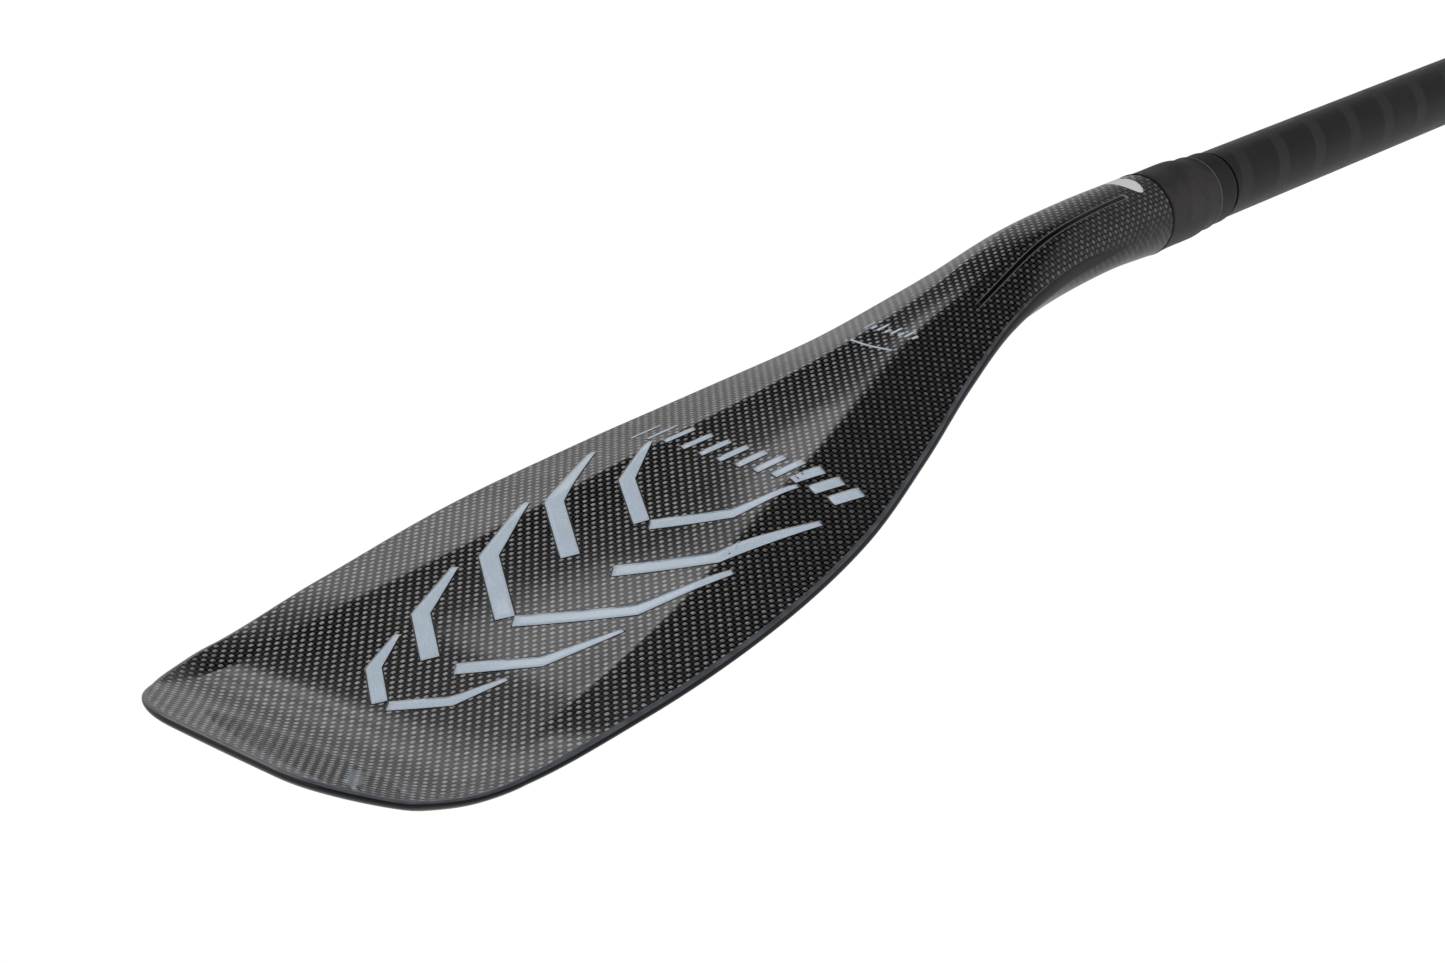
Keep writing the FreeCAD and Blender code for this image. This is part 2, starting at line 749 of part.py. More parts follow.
def make_clamp_bushing():
    """The split liner that guides the upper tube, with the rib that rides in its groove."""
    start, top = size("liner_start"), size("liner_top")
    inside = size("inner_radius") + size("sliding_gap")
    outside = size("liner_radius")
    body = turned(
        "clamp_bushing", [(start, inside), (start, outside), (top, outside), (top, inside)]
    )
    rib = new_sketch(body, "rib_outline", "XZ_Plane")
    crest = -(size("groove_floor") + size("rib_gap"))
    root = -(inside + size("rib_root"))
    polygon(rib, [(start, crest), (top, crest), (top, root), (start, root)])
    pad(body, rib, size("groove_width") - size("rib_gap") * 2, "rib_pad")
    slit = new_sketch(body, "liner_slit", "XY_Plane")
    within, beyond = size("inner_bore") * 0.5, outside + OVERCUT
    foot, end = start - OVERCUT, top + OVERCUT
    polygon(slit, [(foot, within), (end, within), (end, beyond), (foot, beyond)])
    cut_through(body, slit, size("slit"), "liner_slit_cut")
    return body


def on_bolt_axis(name, profile):
    """A body turned about the clamp bolt's axis; profile holds (radius, height) pairs."""
    body = new_body(name)
    sketch = new_sketch(body, name + "_profile", "XZ_Plane")
    polygon(sketch, profile)
    turn = body.newObject("PartDesign::Revolution", name + "_turn")
    turn.Profile = sketch
    turn.ReferenceAxis = (sketch, ["V_Axis"])
    turn.Angle = 360
    bind(body, "Placement.Base.x", size("bolt_station"))
    bind(body, "Placement.Base.y", size("bolt_offset"))
    return body


def pivot_height():
    """Height of the lever's pivot above the shaft axis."""
    shoe = size("ear_half") + size("shoe_floor")
    return shoe + size("cam_gap") + size("cam_radius") + size("cam_throw")


def make_clamp_washer():
    """The flat washer under the bolt's head."""
    top = -(size("ear_half") + size("touch_gap"))
    foot = top - size("washer_height")
    hole = size("bolt_radius") + size("washer_hole_gap")
    edge = size("washer_radius")
    on_bolt_axis("clamp_washer", [(hole, foot), (edge, foot), (edge, top), (hole, top)])


def make_clamp_bolt():
    """The socket-head bolt, from its head below the ears up into the barrel."""
    seat = -(size("ear_half") + size("washer_height") + size("touch_gap") * 2)
    foot = seat - size("bolt_head_height")
    tip = pivot_height() + size("bolt_past_pivot")
    shank = size("bolt_radius")
    head = size("bolt_head_radius")
    bevel = size("bolt_bevel")
    centre = as_size(0)
    body = on_bolt_axis(
        "clamp_bolt",
        [
            (centre, foot),
            (head - bevel, foot),
            (head, foot + bevel),
            (head, seat),
            (shank, seat),
            (shank, tip - bevel),
            (shank - bevel, tip),
            (centre, tip),
        ],
    )
    hexagon = new_sketch(body, "hexagon_socket", "XY_Plane", foot)
    corners = []
    for i in range(6):
        angle = math.radians(60 * i)
        corners.append(
            (size("hex_radius") * math.cos(angle), size("hex_radius") * math.sin(angle))
        )
    polygon(hexagon, corners)
    cut_through(body, hexagon, size("bolt_head_height"), "hexagon_cut")
    return body


def make_cam_washer():
    """The shoe under the cam, hollowed along the shaft's direction."""
    body = new_body("cam_washer")
    foot = size("ear_half") + size("touch_gap")
    top = foot + size("shoe_floor") + size("shoe_rise")
    half = size("shoe_half")
    block = new_sketch(body, "shoe_outline", "YZ_Plane", size("bolt_station"))
    offset = size("bolt_offset")
    polygon(
        block,
        [(offset - half, foot), (offset + half, foot), (offset + half, top), (offset - half, top)],
    )
    pad(body, block, size("lever_width"), "shoe_pad")
    hollow_radius = size("cam_radius") + size("cam_throw")
    hollow = new_sketch(body, "hollow_outline", "YZ_Plane", size("bolt_station"))
    rise = size("ear_half") + size("shoe_floor") + hollow_radius
    circle(hollow, offset, rise, hollow_radius)
    cut_through(body, hollow, size("lever_width") + OVERCUT, "hollow_cut")
    hole = new_sketch(body, "shoe_hole_outline", "XY_Plane")
    circle(hole, size("bolt_station"), offset, size("bolt_radius") + size("bolt_hole_gap"))
    cut_through(body, hole, size("ear_half") * 6, "shoe_hole")
    return body


def make_pivot_barrel():
    """The cross pin that the bolt screws into and the lever turns on."""
    body = new_body("pivot_barrel")
    outline = new_sketch(body, "barrel_outline", "YZ_Plane", size("bolt_station"))
    circle(outline, size("bolt_offset"), pivot_height(), size("barrel_radius"))
    pad(body, outline, size("barrel_length"), "barrel_pad")
    hole = new_sketch(body, "barrel_hole_outline", "XY_Plane")
    thread = size("bolt_radius") + size("sliding_gap")
    circle(hole, size("bolt_station"), size("bolt_offset"), thread)
    cut_through(body, hole, size("ear_half") * 6, "barrel_hole")
    return body


def polar(radius, degrees):
    """Sketch coordinates at an angle about the shaft axis."""
    angle = math.radians(degrees)
    return radius * math.cos(angle), radius * math.sin(angle)


def make_clamp_lever():
    """The cam lever: a round head beside the collar and an arm that wraps over it."""
    body = new_body("clamp_lever")
    station = size("bolt_station")
    offset = size("bolt_offset")
    cam_height = pivot_height() - size("cam_throw")
    head = new_sketch(body, "cam_outline", "YZ_Plane", station)
    circle(head, offset, cam_height, size("cam_radius"))
    pad(body, head, size("lever_width"), "cam_pad")
    arm = new_sketch(body, "arm_outline", "YZ_Plane", station)
    inside, outside = size("lever_inside"), size("lever_outside")
    inner_turn = [polar(inside, angle) for angle in range(60, 161, 10)]
    outer_turn = [polar(outside, angle) for angle in range(158, 61, -8)]
    toe = size("lever_toe").value
    thinning = (outside - inside) * 0.3
    toe_points = [polar(inside + thinning, toe), polar(outside - thinning, toe - 1)]
    cam = size("cam_radius")
    root_low = (offset - cam * 0.73, cam_height - cam * 0.6)
    root_high = (offset - cam * 0.13, cam_height + cam * 0.96)
    polygon(arm, [root_low] + inner_turn + toe_points + outer_turn + [root_high])
    pad(body, arm, size("lever_width"), "arm_pad")
    bore = new_sketch(body, "pivot_outline", "YZ_Plane", station)
    circle(bore, offset, pivot_height(), size("barrel_radius") + size("sliding_gap"))
    cut_through(body, bore, size("lever_width") + OVERCUT, "pivot_bore")
    slot = new_sketch(body, "slot_outline", "YZ_Plane", station)
    near, far = offset - size("lever_slot") * 0.5, offset + cam * 1.6
    low, high = size("ear_half") * 0.5, cam_height + cam * 1.6
    polygon(slot, [(near, low), (far, low), (far, high), (near, high)])
    cut_through(body, slot, size("lever_slot"), "slot_cut")
    return body


# --- upper tube ----------------------------------------------------------------------------------


def make_upper_shaft():
    """The upper tube with its anti-twist groove."""
    foot, top = size("inner_foot"), size("inner_top")
    radius, bore = size("inner_radius"), size("inner_bore")
    body = turned("upper_shaft", [(foot, bore), (foot, radius), (top, radius), (top, bore)])
    groove = new_sketch(body, "groove_outline", "XZ_Plane")
    start, end = foot - OVERCUT, size("groove_end")
    floor, beyond = -size("groove_floor"), -(radius + OVERCUT)
    polygon(groove, [(start, floor), (end, floor), (end, beyond), (start, beyond)])
    cut_through(body, groove, size("groove_width"), "groove_cut")
    return body


def ring_grooves():
    """Places of the two ring grooves on the sliding plug."""
    start = size("inner_foot") - size("flange")
    return [start + size("first_ring_groove"), start + size("second_ring_groove")]


def make_upper_plug():
    """The sliding plug at the foot of the upper tube, with two ring grooves."""
    foot = size("inner_foot")
    wide = size("shaft_bore") - size("sliding_gap")
    waist = wide - size("ring_groove_depth")
    stem = size("inner_bore") - size("glue_gap")
    shoulder = foot - size("glue_gap")
    start = foot - size("flange")
    bevel = size("bolt_bevel") * 2
    profile = [(start, as_size(0)), (start, wide - bevel), (start + bevel, wide)]
    for groove in ring_grooves():
        end = groove + size("ring_groove_width")
        profile += [(groove, wide), (groove, waist), (end, waist), (end, wide)]
    profile += [
        (shoulder, wide),
        (shoulder, stem),
        (foot + size("plug_length"), stem),
        (foot + size("plug_length"), as_size(0)),
    ]
    turned("upper_shaft_plug", profile)


def make_plug_rings():
    """The two rings in the plug's grooves, as one node of two solids."""
    tube = size("ring_tube").value
    centre = size("shaft_bore").value - size("ring_gap").value - tube
    rings = []
    for groove in ring_grooves():
        middle = groove.value + size("ring_groove_width").value / 2
        rings.append(Part.makeTorus(centre, tube, Vector(middle, 0, 0), Vector(1, 0, 0)))
    shaped("plug_orings", Part.makeCompound(rings))


# --- grip ----------------------------------------------------------------------------------------


# How much the palm bar's ends are rounded, how late along it, and where its sections stand.
END_ROUNDING = 0.5
END_SHARPNESS = 14
BAR_SHARES = (-1.0, -0.9, -0.6, -0.3, 0.0, 0.3, 0.6, 0.9, 1.0)


def bar_section(share, extra):
    """Centre and half sizes of the palm bar at a share of its half width, grown by extra."""
    bend = share * share
    centre = size("grip_centre") - size("grip_droop") * bend
    shrink = (as_size(1) - size("grip_taper") * bend) * (1 - END_ROUNDING * abs(share) ** END_SHARPNESS)
    return centre, size("grip_depth") * shrink + extra, size("grip_thick") * shrink + extra


def bar_sketches(body, name, half, extra):
    """Elliptical sections across the palm bar, from -half to +half."""
    sketches = []
    for i, share in enumerate(BAR_SHARES):
        sketch = new_sketch(body, f"{name}_{i}", "XZ_Plane", half * share)
        full = share * half.value / size("grip_half").value
        centre, depth, thick = bar_section(full, extra)
        ellipse(sketch, centre, depth, thick)
        sketches.append(sketch)
    return sketches


def loft(body, kind, sketches, name):
    """A smooth loft, added or removed."""
    feature = body.newObject(f"PartDesign::{kind}Loft", name)
    feature.Profile = sketches[0]
    feature.Sections = sketches[1:]
    feature.Ruled = False
    return feature


def make_grip_core():
    """The palm bar with its stem, which is glued into the upper tube."""
    body = new_body("grip_core")
    bar = bar_sketches(body, "bar", size("grip_half"), as_size(0))
    loft(body, "Additive", bar, "bar_loft")
    stem = new_sketch(body, "stem_profile", "XZ_Plane")
    root, shoulder = size("stem_root"), size("inner_top") + size("glue_gap")
    inside = size("inner_bore") - size("glue_gap")
    tube = size("inner_radius")
    centre = size("grip_centre")
    bar_foot = centre - size("grip_depth")
    bevel = as_size(1)
    polygon(
        stem,
        [
            (root, as_size(0)),
            (root, inside - bevel),
            (root + bevel * 2, inside),
            (shoulder, inside),
            (shoulder, tube),
            (bar_foot - bevel * 2, tube + size("grip_sleeve_wall")),
            (bar_foot + size("grip_depth") * 0.4, tube - bevel),
            (centre, tube * 0.6),
            (centre, as_size(0)),
        ],
    )
    turn = body.newObject("PartDesign::Revolution", "stem_turn")
    turn.Profile = stem
    turn.ReferenceAxis = (stem, ["H_Axis"])
    turn.Angle = 360
    return body


def make_grip_cover():
    """The soft pad over the top half of the palm bar."""
    body = new_body("grip_cover")
    outer = bar_sketches(body, "pad", size("cover_half"), size("cover_wall"))
    loft(body, "Additive", outer, "pad_loft")
    past_end = size("cover_half") + OVERCUT * 4
    hollow = bar_sketches(body, "hollow", past_end, size("cover_gap"))
    DOC.recompute()
    before = body.Shape.Volume
    loft(body, "Subtractive", hollow, "hollow_loft")
    DOC.recompute()
    if body.Shape.Volume >= before:
        raise RuntimeError("the pad wasn't hollowed")
    lower = new_sketch(body, "pad_trim", "XY_Plane")
    low = size("grip_centre") - size("grip_depth") * 3
    trim = size("cover_trim")
    beyond = size("grip_half")
    polygon(lower, [(low, -beyond), (trim, -beyond), (trim, beyond), (low, beyond)])
    cut_through(body, lower, size("grip_thick") * 4, "pad_trim_cut")
    return body


def make_grip_sleeve():
    """The sleeve over the top of the upper tube, under the grip."""
    inside = size("inner_radius") + size("sliding_gap")
    outside = inside + size("grip_sleeve_wall")
    start, end = size("grip_sleeve_start"), size("inner_top") - size("glue_gap") * 5
    turned("grip_sleeve", [(start, inside), (start, outside), (end, outside), (end, inside)])


# --- build, check and write ----------------------------------------------------------------------


def build():
    """Makes every sub-part in the document."""
    fill_sheet()
    blade = Blade()
    make_skins(blade)
    make_core(blade)
    make_rail(blade)
    make_neck_socket()
    make_neck_spigot()
    make_lower_shaft()
    make_shrink_sleeve()
    make_water_plug()
    make_clamp_body()
    make_clamp_bushing()
    make_clamp_washer()
    make_clamp_bolt()
    make_cam_washer()
    make_pivot_barrel()
    make_clamp_lever()
    make_upper_shaft()
    make_upper_plug()
    make_plug_rings()
    make_grip_core()
    make_grip_cover()
    make_grip_sleeve()
    DOC.recompute()


def check(parts):
    """Stops on any failed object or unsound shape."""
    for thing in DOC.Objects:
        if "Invalid" in thing.State or "Error" in thing.State:
            raise RuntimeError(f"{thing.Name} failed: {thing.State}")
    for part in parts:
        if part.Shape.isNull() or not part.Shape.isValid() or part.Shape.Volume <= 0:
            raise RuntimeError(f"{part.Label} has no sound shape")


def write(parts):
    """Writes one STEP file for each sub-part."""
    os.makedirs("parts", exist_ok=True)
    for part in parts:
        part.Shape.exportStep(f"parts/{part.Label}.step")
        print(f"{part.Label}: {len(part.Shape.Solids)} solid, {part.Shape.Volume:.0f} mm3")


build()
SUB_PARTS = [o for o in DOC.Objects if o.TypeId in ("PartDesign::Body", "Part::Feature")]
check(SUB_PARTS)
write(SUB_PARTS)
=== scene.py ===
"""Looks of the adjustable stand-up paddle, built around its CAD frame.

Lengths are in millimetres until a mesh is made, which turns them into metres. "Reach" is the
distance from the neck's mouth towards the blade's tip, so a point at a reach lies at -reach on
the shaft's axis. "Across" is the place along +Y and height is along +Z.
"""

import math

import bmesh
import bpy
import numpy as np
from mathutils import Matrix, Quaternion, Vector


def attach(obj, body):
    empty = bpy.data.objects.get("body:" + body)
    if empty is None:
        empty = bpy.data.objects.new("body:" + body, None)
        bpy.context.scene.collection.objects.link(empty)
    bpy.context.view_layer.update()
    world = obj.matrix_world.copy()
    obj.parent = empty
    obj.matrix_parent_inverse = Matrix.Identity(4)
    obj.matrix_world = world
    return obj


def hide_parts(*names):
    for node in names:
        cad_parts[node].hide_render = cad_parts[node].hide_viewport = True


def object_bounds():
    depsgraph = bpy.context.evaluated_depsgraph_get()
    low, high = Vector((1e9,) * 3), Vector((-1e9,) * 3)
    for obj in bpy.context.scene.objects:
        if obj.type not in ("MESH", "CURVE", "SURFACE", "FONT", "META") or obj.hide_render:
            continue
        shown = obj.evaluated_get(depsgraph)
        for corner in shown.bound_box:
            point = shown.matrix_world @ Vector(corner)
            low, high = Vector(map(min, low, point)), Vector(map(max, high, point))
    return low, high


MM = 0.001

# The blade's stations: reach, half width, height of the face at the centre line, fall from the
# centre line to the edge, depth of the back below the edge, half the spacing of the creases.
STATIONS = np.array([
    (0.0, 16.8, 16.8, 16.8, 16.8, 6.0),
    (40.0, 19.4, 16.0, 16.8, 13.8, 6.0),
    (80.0, 22.8, 12.6, 13.5, 16.5, 7.0),
    (120.0, 28.2, 2.3, 9.6, 16.0, 8.0),
    (160.0, 38.6, -7.0, 10.2, 13.0, 11.0),
    (205.0, 54.2, -18.2, 8.8, 9.5, 21.0),
    (255.0, 69.4, -28.9, 7.7, 7.0, 33.0),
    (310.0, 78.0, -41.3, 3.0, 5.0, 44.0),
    (370.0, 78.0, -51.0, 1.0, 3.5, 54.0),
    (430.0, 72.1, -58.7, -3.0, 2.0, 60.0),
    (468.4, 64.5, -47.0, -4.8, 0.8, 62.0),
])
LENGTH = STATIONS[-1, 0]

# The tip's corners: where they start, half the flat between them and the powers of their curve.
CORNER = 415.0
TIP_FLAT = 25.0
CORNER_RUN_POWER = 1.7
CORNER_SIDE_POWER = 2.1

# The blade's section: the edge's thickness, the skins' thickness, the widest share that the flat
# panel takes up, where the round neck ends and how long it takes to turn into a blade, and how
# softly the creases and the fall to the edge are rounded.
EDGE = 3.0
SKIN = 0.8
WIDEST_PANEL = 0.9
NECK_END = 30.0
BLEND_LENGTH = 130.0
CREASE_ROUNDING = 0.06
FALL_ROUNDING = 1.0

# The panel between the creases is dished: its slope at the creases, where the dish fades out
# towards the tip, and how soft its border is.
DISH_SLOPE = 0.075
DISH_FADE = (415.0, 53.0)
DISH_BORDER = 0.05

# The dark bead around the edge, where the two skins stop.
BEAD = 2.0
BEAD_START = 31.0

# The cloth: width of a tow, how square its crown is, how high it stands and between which crowns
# it carries a painted sheen, how light its two directions look in their painted sheen and in their
# real sheen, and the fineness of its fibres.
TOW = 2.0
TOW_SHAPE = 2.4
# The diffuse colours of the two directions are a painted sheen.
LENGTHWISE_PAINTED_SHEEN = 0.004
CROSSWISE_PAINTED_SHEEN = 0.04
LENGTHWISE_SHEEN = 0.1
CROSSWISE_SHEEN = 0.3
SHEEN_ROUGHNESS = 0.42
SHEEN_ANISOTROPY = 0.7
CROWN_HEIGHT = 0.14
CROWN_PAINTED_SHEEN = (0.12, 0.78)
FIBRE_LENGTHWISE = 0.6
FIBRE_ACROSS = 9.0

# The print on the power face: how finely its strips are cut, how high it lies, and its outline.
PRINT_STEP = 2.5
PRINT_COLUMNS = 5
PRINT_THICKNESS = 0.03
PRINT_LIFT = 0.05
OUTLINE_LIFT = 0.03
OUTLINE_GROWTH = 0.5

# Nested chevrons: the reach of each one's point, the half span of its arms, its line's width and
# half the opening at its point. An arm falls back to its knee and runs on to a tapered end; its
# places are shares of the half span.
CHEVRONS = [
    (408.0, 30.0, 5.0, 2.0),
    (386.0, 46.0, 6.0, 6.0),
    (354.0, 56.0, 6.5, 2.0),
    (322.0, 62.0, 6.5, 10.0),
    (290.0, 40.0, 5.5, 2.0),
]
CHEVRON_FALL = 0.72
KNEE_PLACE = 0.62
END_RUN = 0.55
END_PLACE = 0.86
END_WIDTH = 0.35

# The row of slanted bars, from the left edge to the right.
BAR_COUNT = 12
BAR_REACH = 243.0
BAR_LENGTH = 11.0
BAR_PLACES = (44.0, -50.0)
BAR_WIDTHS = (1.4, 4.8)
BAR_SLANT = 0.35

# The ruled line on the neck and the ticks above it, alternately long and short.
NECK_LINE = [(167.0, 14.0), (167.5, 3.0), (167.0, -8.0)]
NECK_LINE_WIDTH = 0.9
TICK_COUNT = 8
TICK_FOOT = 158.0
TICK_START = 12.0
TICK_STEP = 3.2
TICK_LENGTHS = (5.0, 2.6)
TICK_WIDTH = 1.3
TICK_SLANT = 0.3

# The blank sticker at the neck's end: its middle and its half sizes along and across.
STICKER_PLACE = (11.5, 0.5)
STICKER_HALF = (4.6, 10.0)
OVAL_ROWS = 25
OVAL_COLUMNS = 13
OVAL_TIP = 0.02

# The seam along the neck and the fine ridges beside it: where they start and end, their distance
# off the middle and how it grows, their spacing, width and height.
RIDGE_START = 21.0
RIDGE_END = 126.0
RIDGE_PLACE = 8.6
RIDGE_SPREAD = 0.0006
RIDGE_SPACING = 2.0
RIDGE_WIDTH = 0.35
RIDGE_LIFT = 0.08
RIDGE_ROWS = 41

# Where the neck faces downwards a cloudy grey takes the weave's place: the places along the shaft,
# in metres, between which it sets in, the upward parts of the normal between which it fades, and
# its two levels.
DOWNWARD_GREY_SPAN = (-0.135, -0.085)
DOWNWARD_GREY_FACING = (0.05, 0.5)
DOWNWARD_GREY_LEVELS = (0.1, 0.28)

# The sleeve over the neck's joint: places along the shaft with the radius there, the ring line with
# the width of its painted highlight, the black ring before it, which stands for the sleeve's dark
# edge and for painted shadow in the gap, its bore, how bumpy it is and how finely it is cut.
SLEEVE_OUTLINE = [
    (1.2, 16.1),
    (1.5, 16.5),
    (2.4, 16.7),
    (10.0, 16.62),
    (20.0, 16.68),
    (26.0, 16.6),
    (28.5, 16.35),
    (31.0, 15.9),
    (33.5, 15.55),
    (36.8, 15.42),
    (37.3, 15.72),
    (37.9, 15.75),
    (38.3, 15.2),
    (44.0, 15.16),
    (48.6, 15.14),
    (49.6, 15.0),
    (50.0, 14.8),
]
SLEEVE_RING = 38.0
RING_BEVEL = 0.4
RING_HIGHLIGHT_WIDTH = 0.6
# The black ring at the neck's mouth: the sleeve's dark edge and painted shadow in the gap.
EDGE_SHADOW_SPAN = (0.05, 1.15)
EDGE_SHADOW_RADIUS = 17.0
EDGE_SHADOW_BEVEL = 0.2
SLEEVE_BORE = 14.56
SLEEVE_BUMPS = 0.1
SLEEVE_STEP = 0.5

# The grip: the palm bar's centre, the droop of its ends, its half width, half depth and half
# thickness, and its taper. Then the soft pad: its half width, its foot along the shaft, its gap
# to the bar, its wall, the width of its rounded border, its grooves, how clear of its ends and
# foot these stay and how softly they start, the wall at its border, and its grid.
PALM_CENTRE = 1316.0
PALM_DROOP = 5.0
PALM_HALF = 55.0
PALM_DEPTH = 12.0
PALM_THICK = 13.5
PALM_TAPER = 0.3
PAD_HALF = 40.0
PAD_FOOT = 1313.5
PAD_GAP = 0.1
PAD_WALL = 1.4
PAD_BORDER = 1.3
PAD_GROOVES = 9
PAD_GROOVE_DEPTH = 0.55
PAD_RIM = 0.3
GROOVE_SHARPNESS = 8
GROOVES_CLEAR = (4.0, 1.5)
GROOVES_FADE = 2.0
PAD_ROWS = 161
PAD_COLUMNS = 181
PAD_SHARP = 60

# The shaft's tape marks: the pitch of the helix, the soft edge of a band and the spacing of its
# fine lines, as shares of the pitch.
TAPE_PITCH = 29.0
TAPE_EDGE = (0.135, 0.145)
TAPE_LINES = 0.052

# Bright windows in the reflected studio: centre and half size in degrees of azimuth and
# elevation, softness, strength.
WINDOWS = [
    ((55.0, 28.0), (6.0, 4.0), 4.0, 0.6),
    ((56.0, 20.0), (7.0, 6.0), 4.0, 0.23),
    ((53.5, 34.3), (5.0, 2.2), 1.7, 1.0),
    ((100.0, 47.0), (24.0, 13.0), 5.0, 2.0),
    ((-105.0, 34.0), (14.0, 14.0), 5.0, 0.35),
]

# The rest of the reflected studio. Each step goes smoothly from one value to another between two
# angles in degrees: the height of the wall's rim and its brightness change with the azimuth, and
# a glow stands overhead. The wall fades over a span of elevation about its rim.
RIM_STEPS = [(-22.0, 2.0, 56.0, 42.0), (10.0, 45.0, 0.0, -5.0)]
WALL_STEPS = [(14.0, 54.0, 0.29, 0.6), (-38.0, -20.0, 0.16, 0.0)]
BEHIND_STEP = (-75.0, -45.0, 0.35, 1.0)
TOP_STEP = (66.0, 80.0, 0.0, 0.4)
RIM_FADE = (-8.0, 7.0)
WHITE_LIGHT = 1.15

# The floor: half its size and its gap under the object in metres, its brightness to the eye, and
# its brightness in reflections from shallow to steep.
FLOOR_HALF = 8.0
FLOOR_GAP = 0.0005
FLOOR_LIGHT = 1.02
FLOOR_MIRRORED = (0.55, 0.9, 0.38, 0.85)

# The camera, in metres: its place, its line of sight, its roll in degrees, and its lens.
CAMERA_PLACE = (-0.8668, -0.5848, 0.3082)
CAMERA_AHEAD = (0.67264, 0.63802, -0.37481)
CAMERA_ROLL = -2.27
LENS = 66.0
SENSOR = 36.0


# --- the blade's surfaces ------------------------------------------------------------------------


def column(index):
    """A smooth curve through one column of the station table."""
    reach = STATIONS[:, 0]
    value = STATIONS[:, index]
    last = len(reach) - 1
    low = np.maximum(np.arange(last + 1) - 1, 0)
    high = np.minimum(np.arange(last + 1) + 1, last)
    slope = (value[high] - value[low]) / (reach[high] - reach[low])

    def curve(x):
        x = np.clip(x, reach[0], reach[-1])
        i = np.clip(np.searchsorted(reach, x) - 1, 0, last - 1)
        span = reach[i + 1] - reach[i]
        u = (x - reach[i]) / span
        keep = (1 + 2 * u) * (1 - u) ** 2
        lead = u * (1 - u) ** 2 * span
        trail = -(u**2) * (1 - u) * span
        return keep * value[i] + (1 - keep) * value[i + 1] + lead * slope[i] + trail * slope[i + 1]

    return curve


width_column, height, fall, belly, crease = (column(i) for i in range(1, 6))


def smooth_step(x):
    """0 below 0, 1 above 1 and level at both ends."""
    x = np.clip(x, 0.0, 1.0)
    return x * x * (3 - 2 * x)


def bladeness(reach):
    """0 in the round neck, 1 where the section is a blade."""
    return smooth_step((reach - NECK_END) / BLEND_LENGTH)


def full_width(reach):
    """Half the width that the blade's section is shaped on."""
    return width_column(np.minimum(reach, CORNER))


def outline_width(reach, inset=0.0):
    """Half the width of the outline, or of one that lies inside it."""
    share = np.clip((reach - CORNER) / (LENGTH - inset - CORNER), 0.0, 1.0)
    round_off = (1 - share**CORNER_RUN_POWER) ** (1 / CORNER_SIDE_POWER)
    cornered = TIP_FLAT + (full_width(reach) - inset - TIP_FLAT) * round_off
    return np.where(reach <= CORNER, width_column(reach) - inset, cornered)


def creased(reach, share):
    """1 on the flat panel between the creases, falling straight to 0 at the edge."""
    flat = np.minimum(crease(reach) / full_width(reach), WIDEST_PANEL)
    wing = (1 - share) / (1 - flat)
    return 0.5 * (1 + wing - np.hypot(1 - wing, CREASE_ROUNDING))


def dish(reach, across):
    """How far the panel between the creases is sunk."""
    inside = 1 - (across / crease(reach)) ** 2
    inside = 0.5 * (inside + np.hypot(inside, DISH_BORDER))
    start, run = DISH_FADE
    kept = bladeness(reach) * (1 - smooth_step((reach - start) / run))
    return DISH_SLOPE / 2 * crease(reach) * inside * kept


def face_height(reach, across):
    """Height of the power face."""
    share = np.minimum(np.abs(across) / full_width(reach), 1.0)
    mix = bladeness(reach)
    kept = (1 - mix) * np.sqrt(1 - share**2) + mix * creased(reach, share)
    return height(reach) - fall(reach) * (1 - kept) - dish(reach, across)


def back_height(reach, across):
    """Height of the back face."""
    share = np.minimum(np.abs(across) / full_width(reach), 1.0)
    mix = bladeness(reach)
    drop = 0.5 * (fall(reach) + np.hypot(fall(reach), FALL_ROUNDING))
    curl = (drop - fall(reach)) * (1 - creased(reach, share))
    arch = (1 - mix) * np.sqrt(1 - share**2) + mix * (1 - share**2) ** 1.5
    return height(reach) - drop + curl - EDGE * mix - belly(reach) * arch - dish(reach, across)


def surface_normals(surface, reach, across):
    """Unit normals of a height surface, pointing up."""
    step = 0.25
    along = (surface(reach + step, across) - surface(reach - step, across)) / (2 * step)
    side = (surface(reach, across + step) - surface(reach, across - step)) / (2 * step)
    normal = np.stack([along, -side, np.ones_like(along)], axis=-1)
    return normal / np.linalg.norm(normal, axis=-1, keepdims=True)


def on_surface(surface, reach, across, lift=0.0):
    """Points on a height surface, lifted off it."""
    points = np.stack([-reach, across, surface(reach, across)], axis=-1)
    return points + surface_normals(surface, reach, across) * lift


# --- meshes --------------------------------------------------------------------------------------


def turn_outwards(mesh):
    """Points every face of a closed mesh outwards."""
    shape = bmesh.new()
    shape.from_mesh(mesh)
    bmesh.ops.recalc_face_normals(shape, faces=shape.faces)
    shape.to_mesh(mesh)
    shape.free()


def new_piece(name, points, faces, uv=None, body="blade_shaft"):
    """A smooth-shaded mesh piece from points in millimetres, riding on a body."""
    mesh = bpy.data.meshes.new(name)
    mesh.from_pydata([tuple(p) for p in np.asarray(points) * MM], [], faces)
    if uv is not None:
        layer = mesh.uv_layers.new(name="cloth")
        corners = np.empty(len(mesh.loops), dtype=np.int32)
        mesh.loops.foreach_get("vertex_index", corners)
        layer.data.foreach_set("uv", (np.asarray(uv)[corners] * MM).ravel())
    turn_outwards(mesh)
    mesh.shade_smooth()
    piece = bpy.data.objects.new(name, mesh)
    bpy.context.collection.objects.link(piece)
    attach(piece, body)
    return piece


def grid_faces(rows, columns, start=0, flip=False, around=False):
    """Quads over a grid of points, closed across the columns where around."""
    faces = []
    for i in range(rows - 1):
        for j in range(columns if around else columns - 1):
            k = (j + 1) % columns
            quad = (i * columns + j, i * columns + k, (i + 1) * columns + k, (i + 1) * columns + j)
            faces.append(tuple(start + q for q in (reversed(quad) if flip else quad)))
    return faces


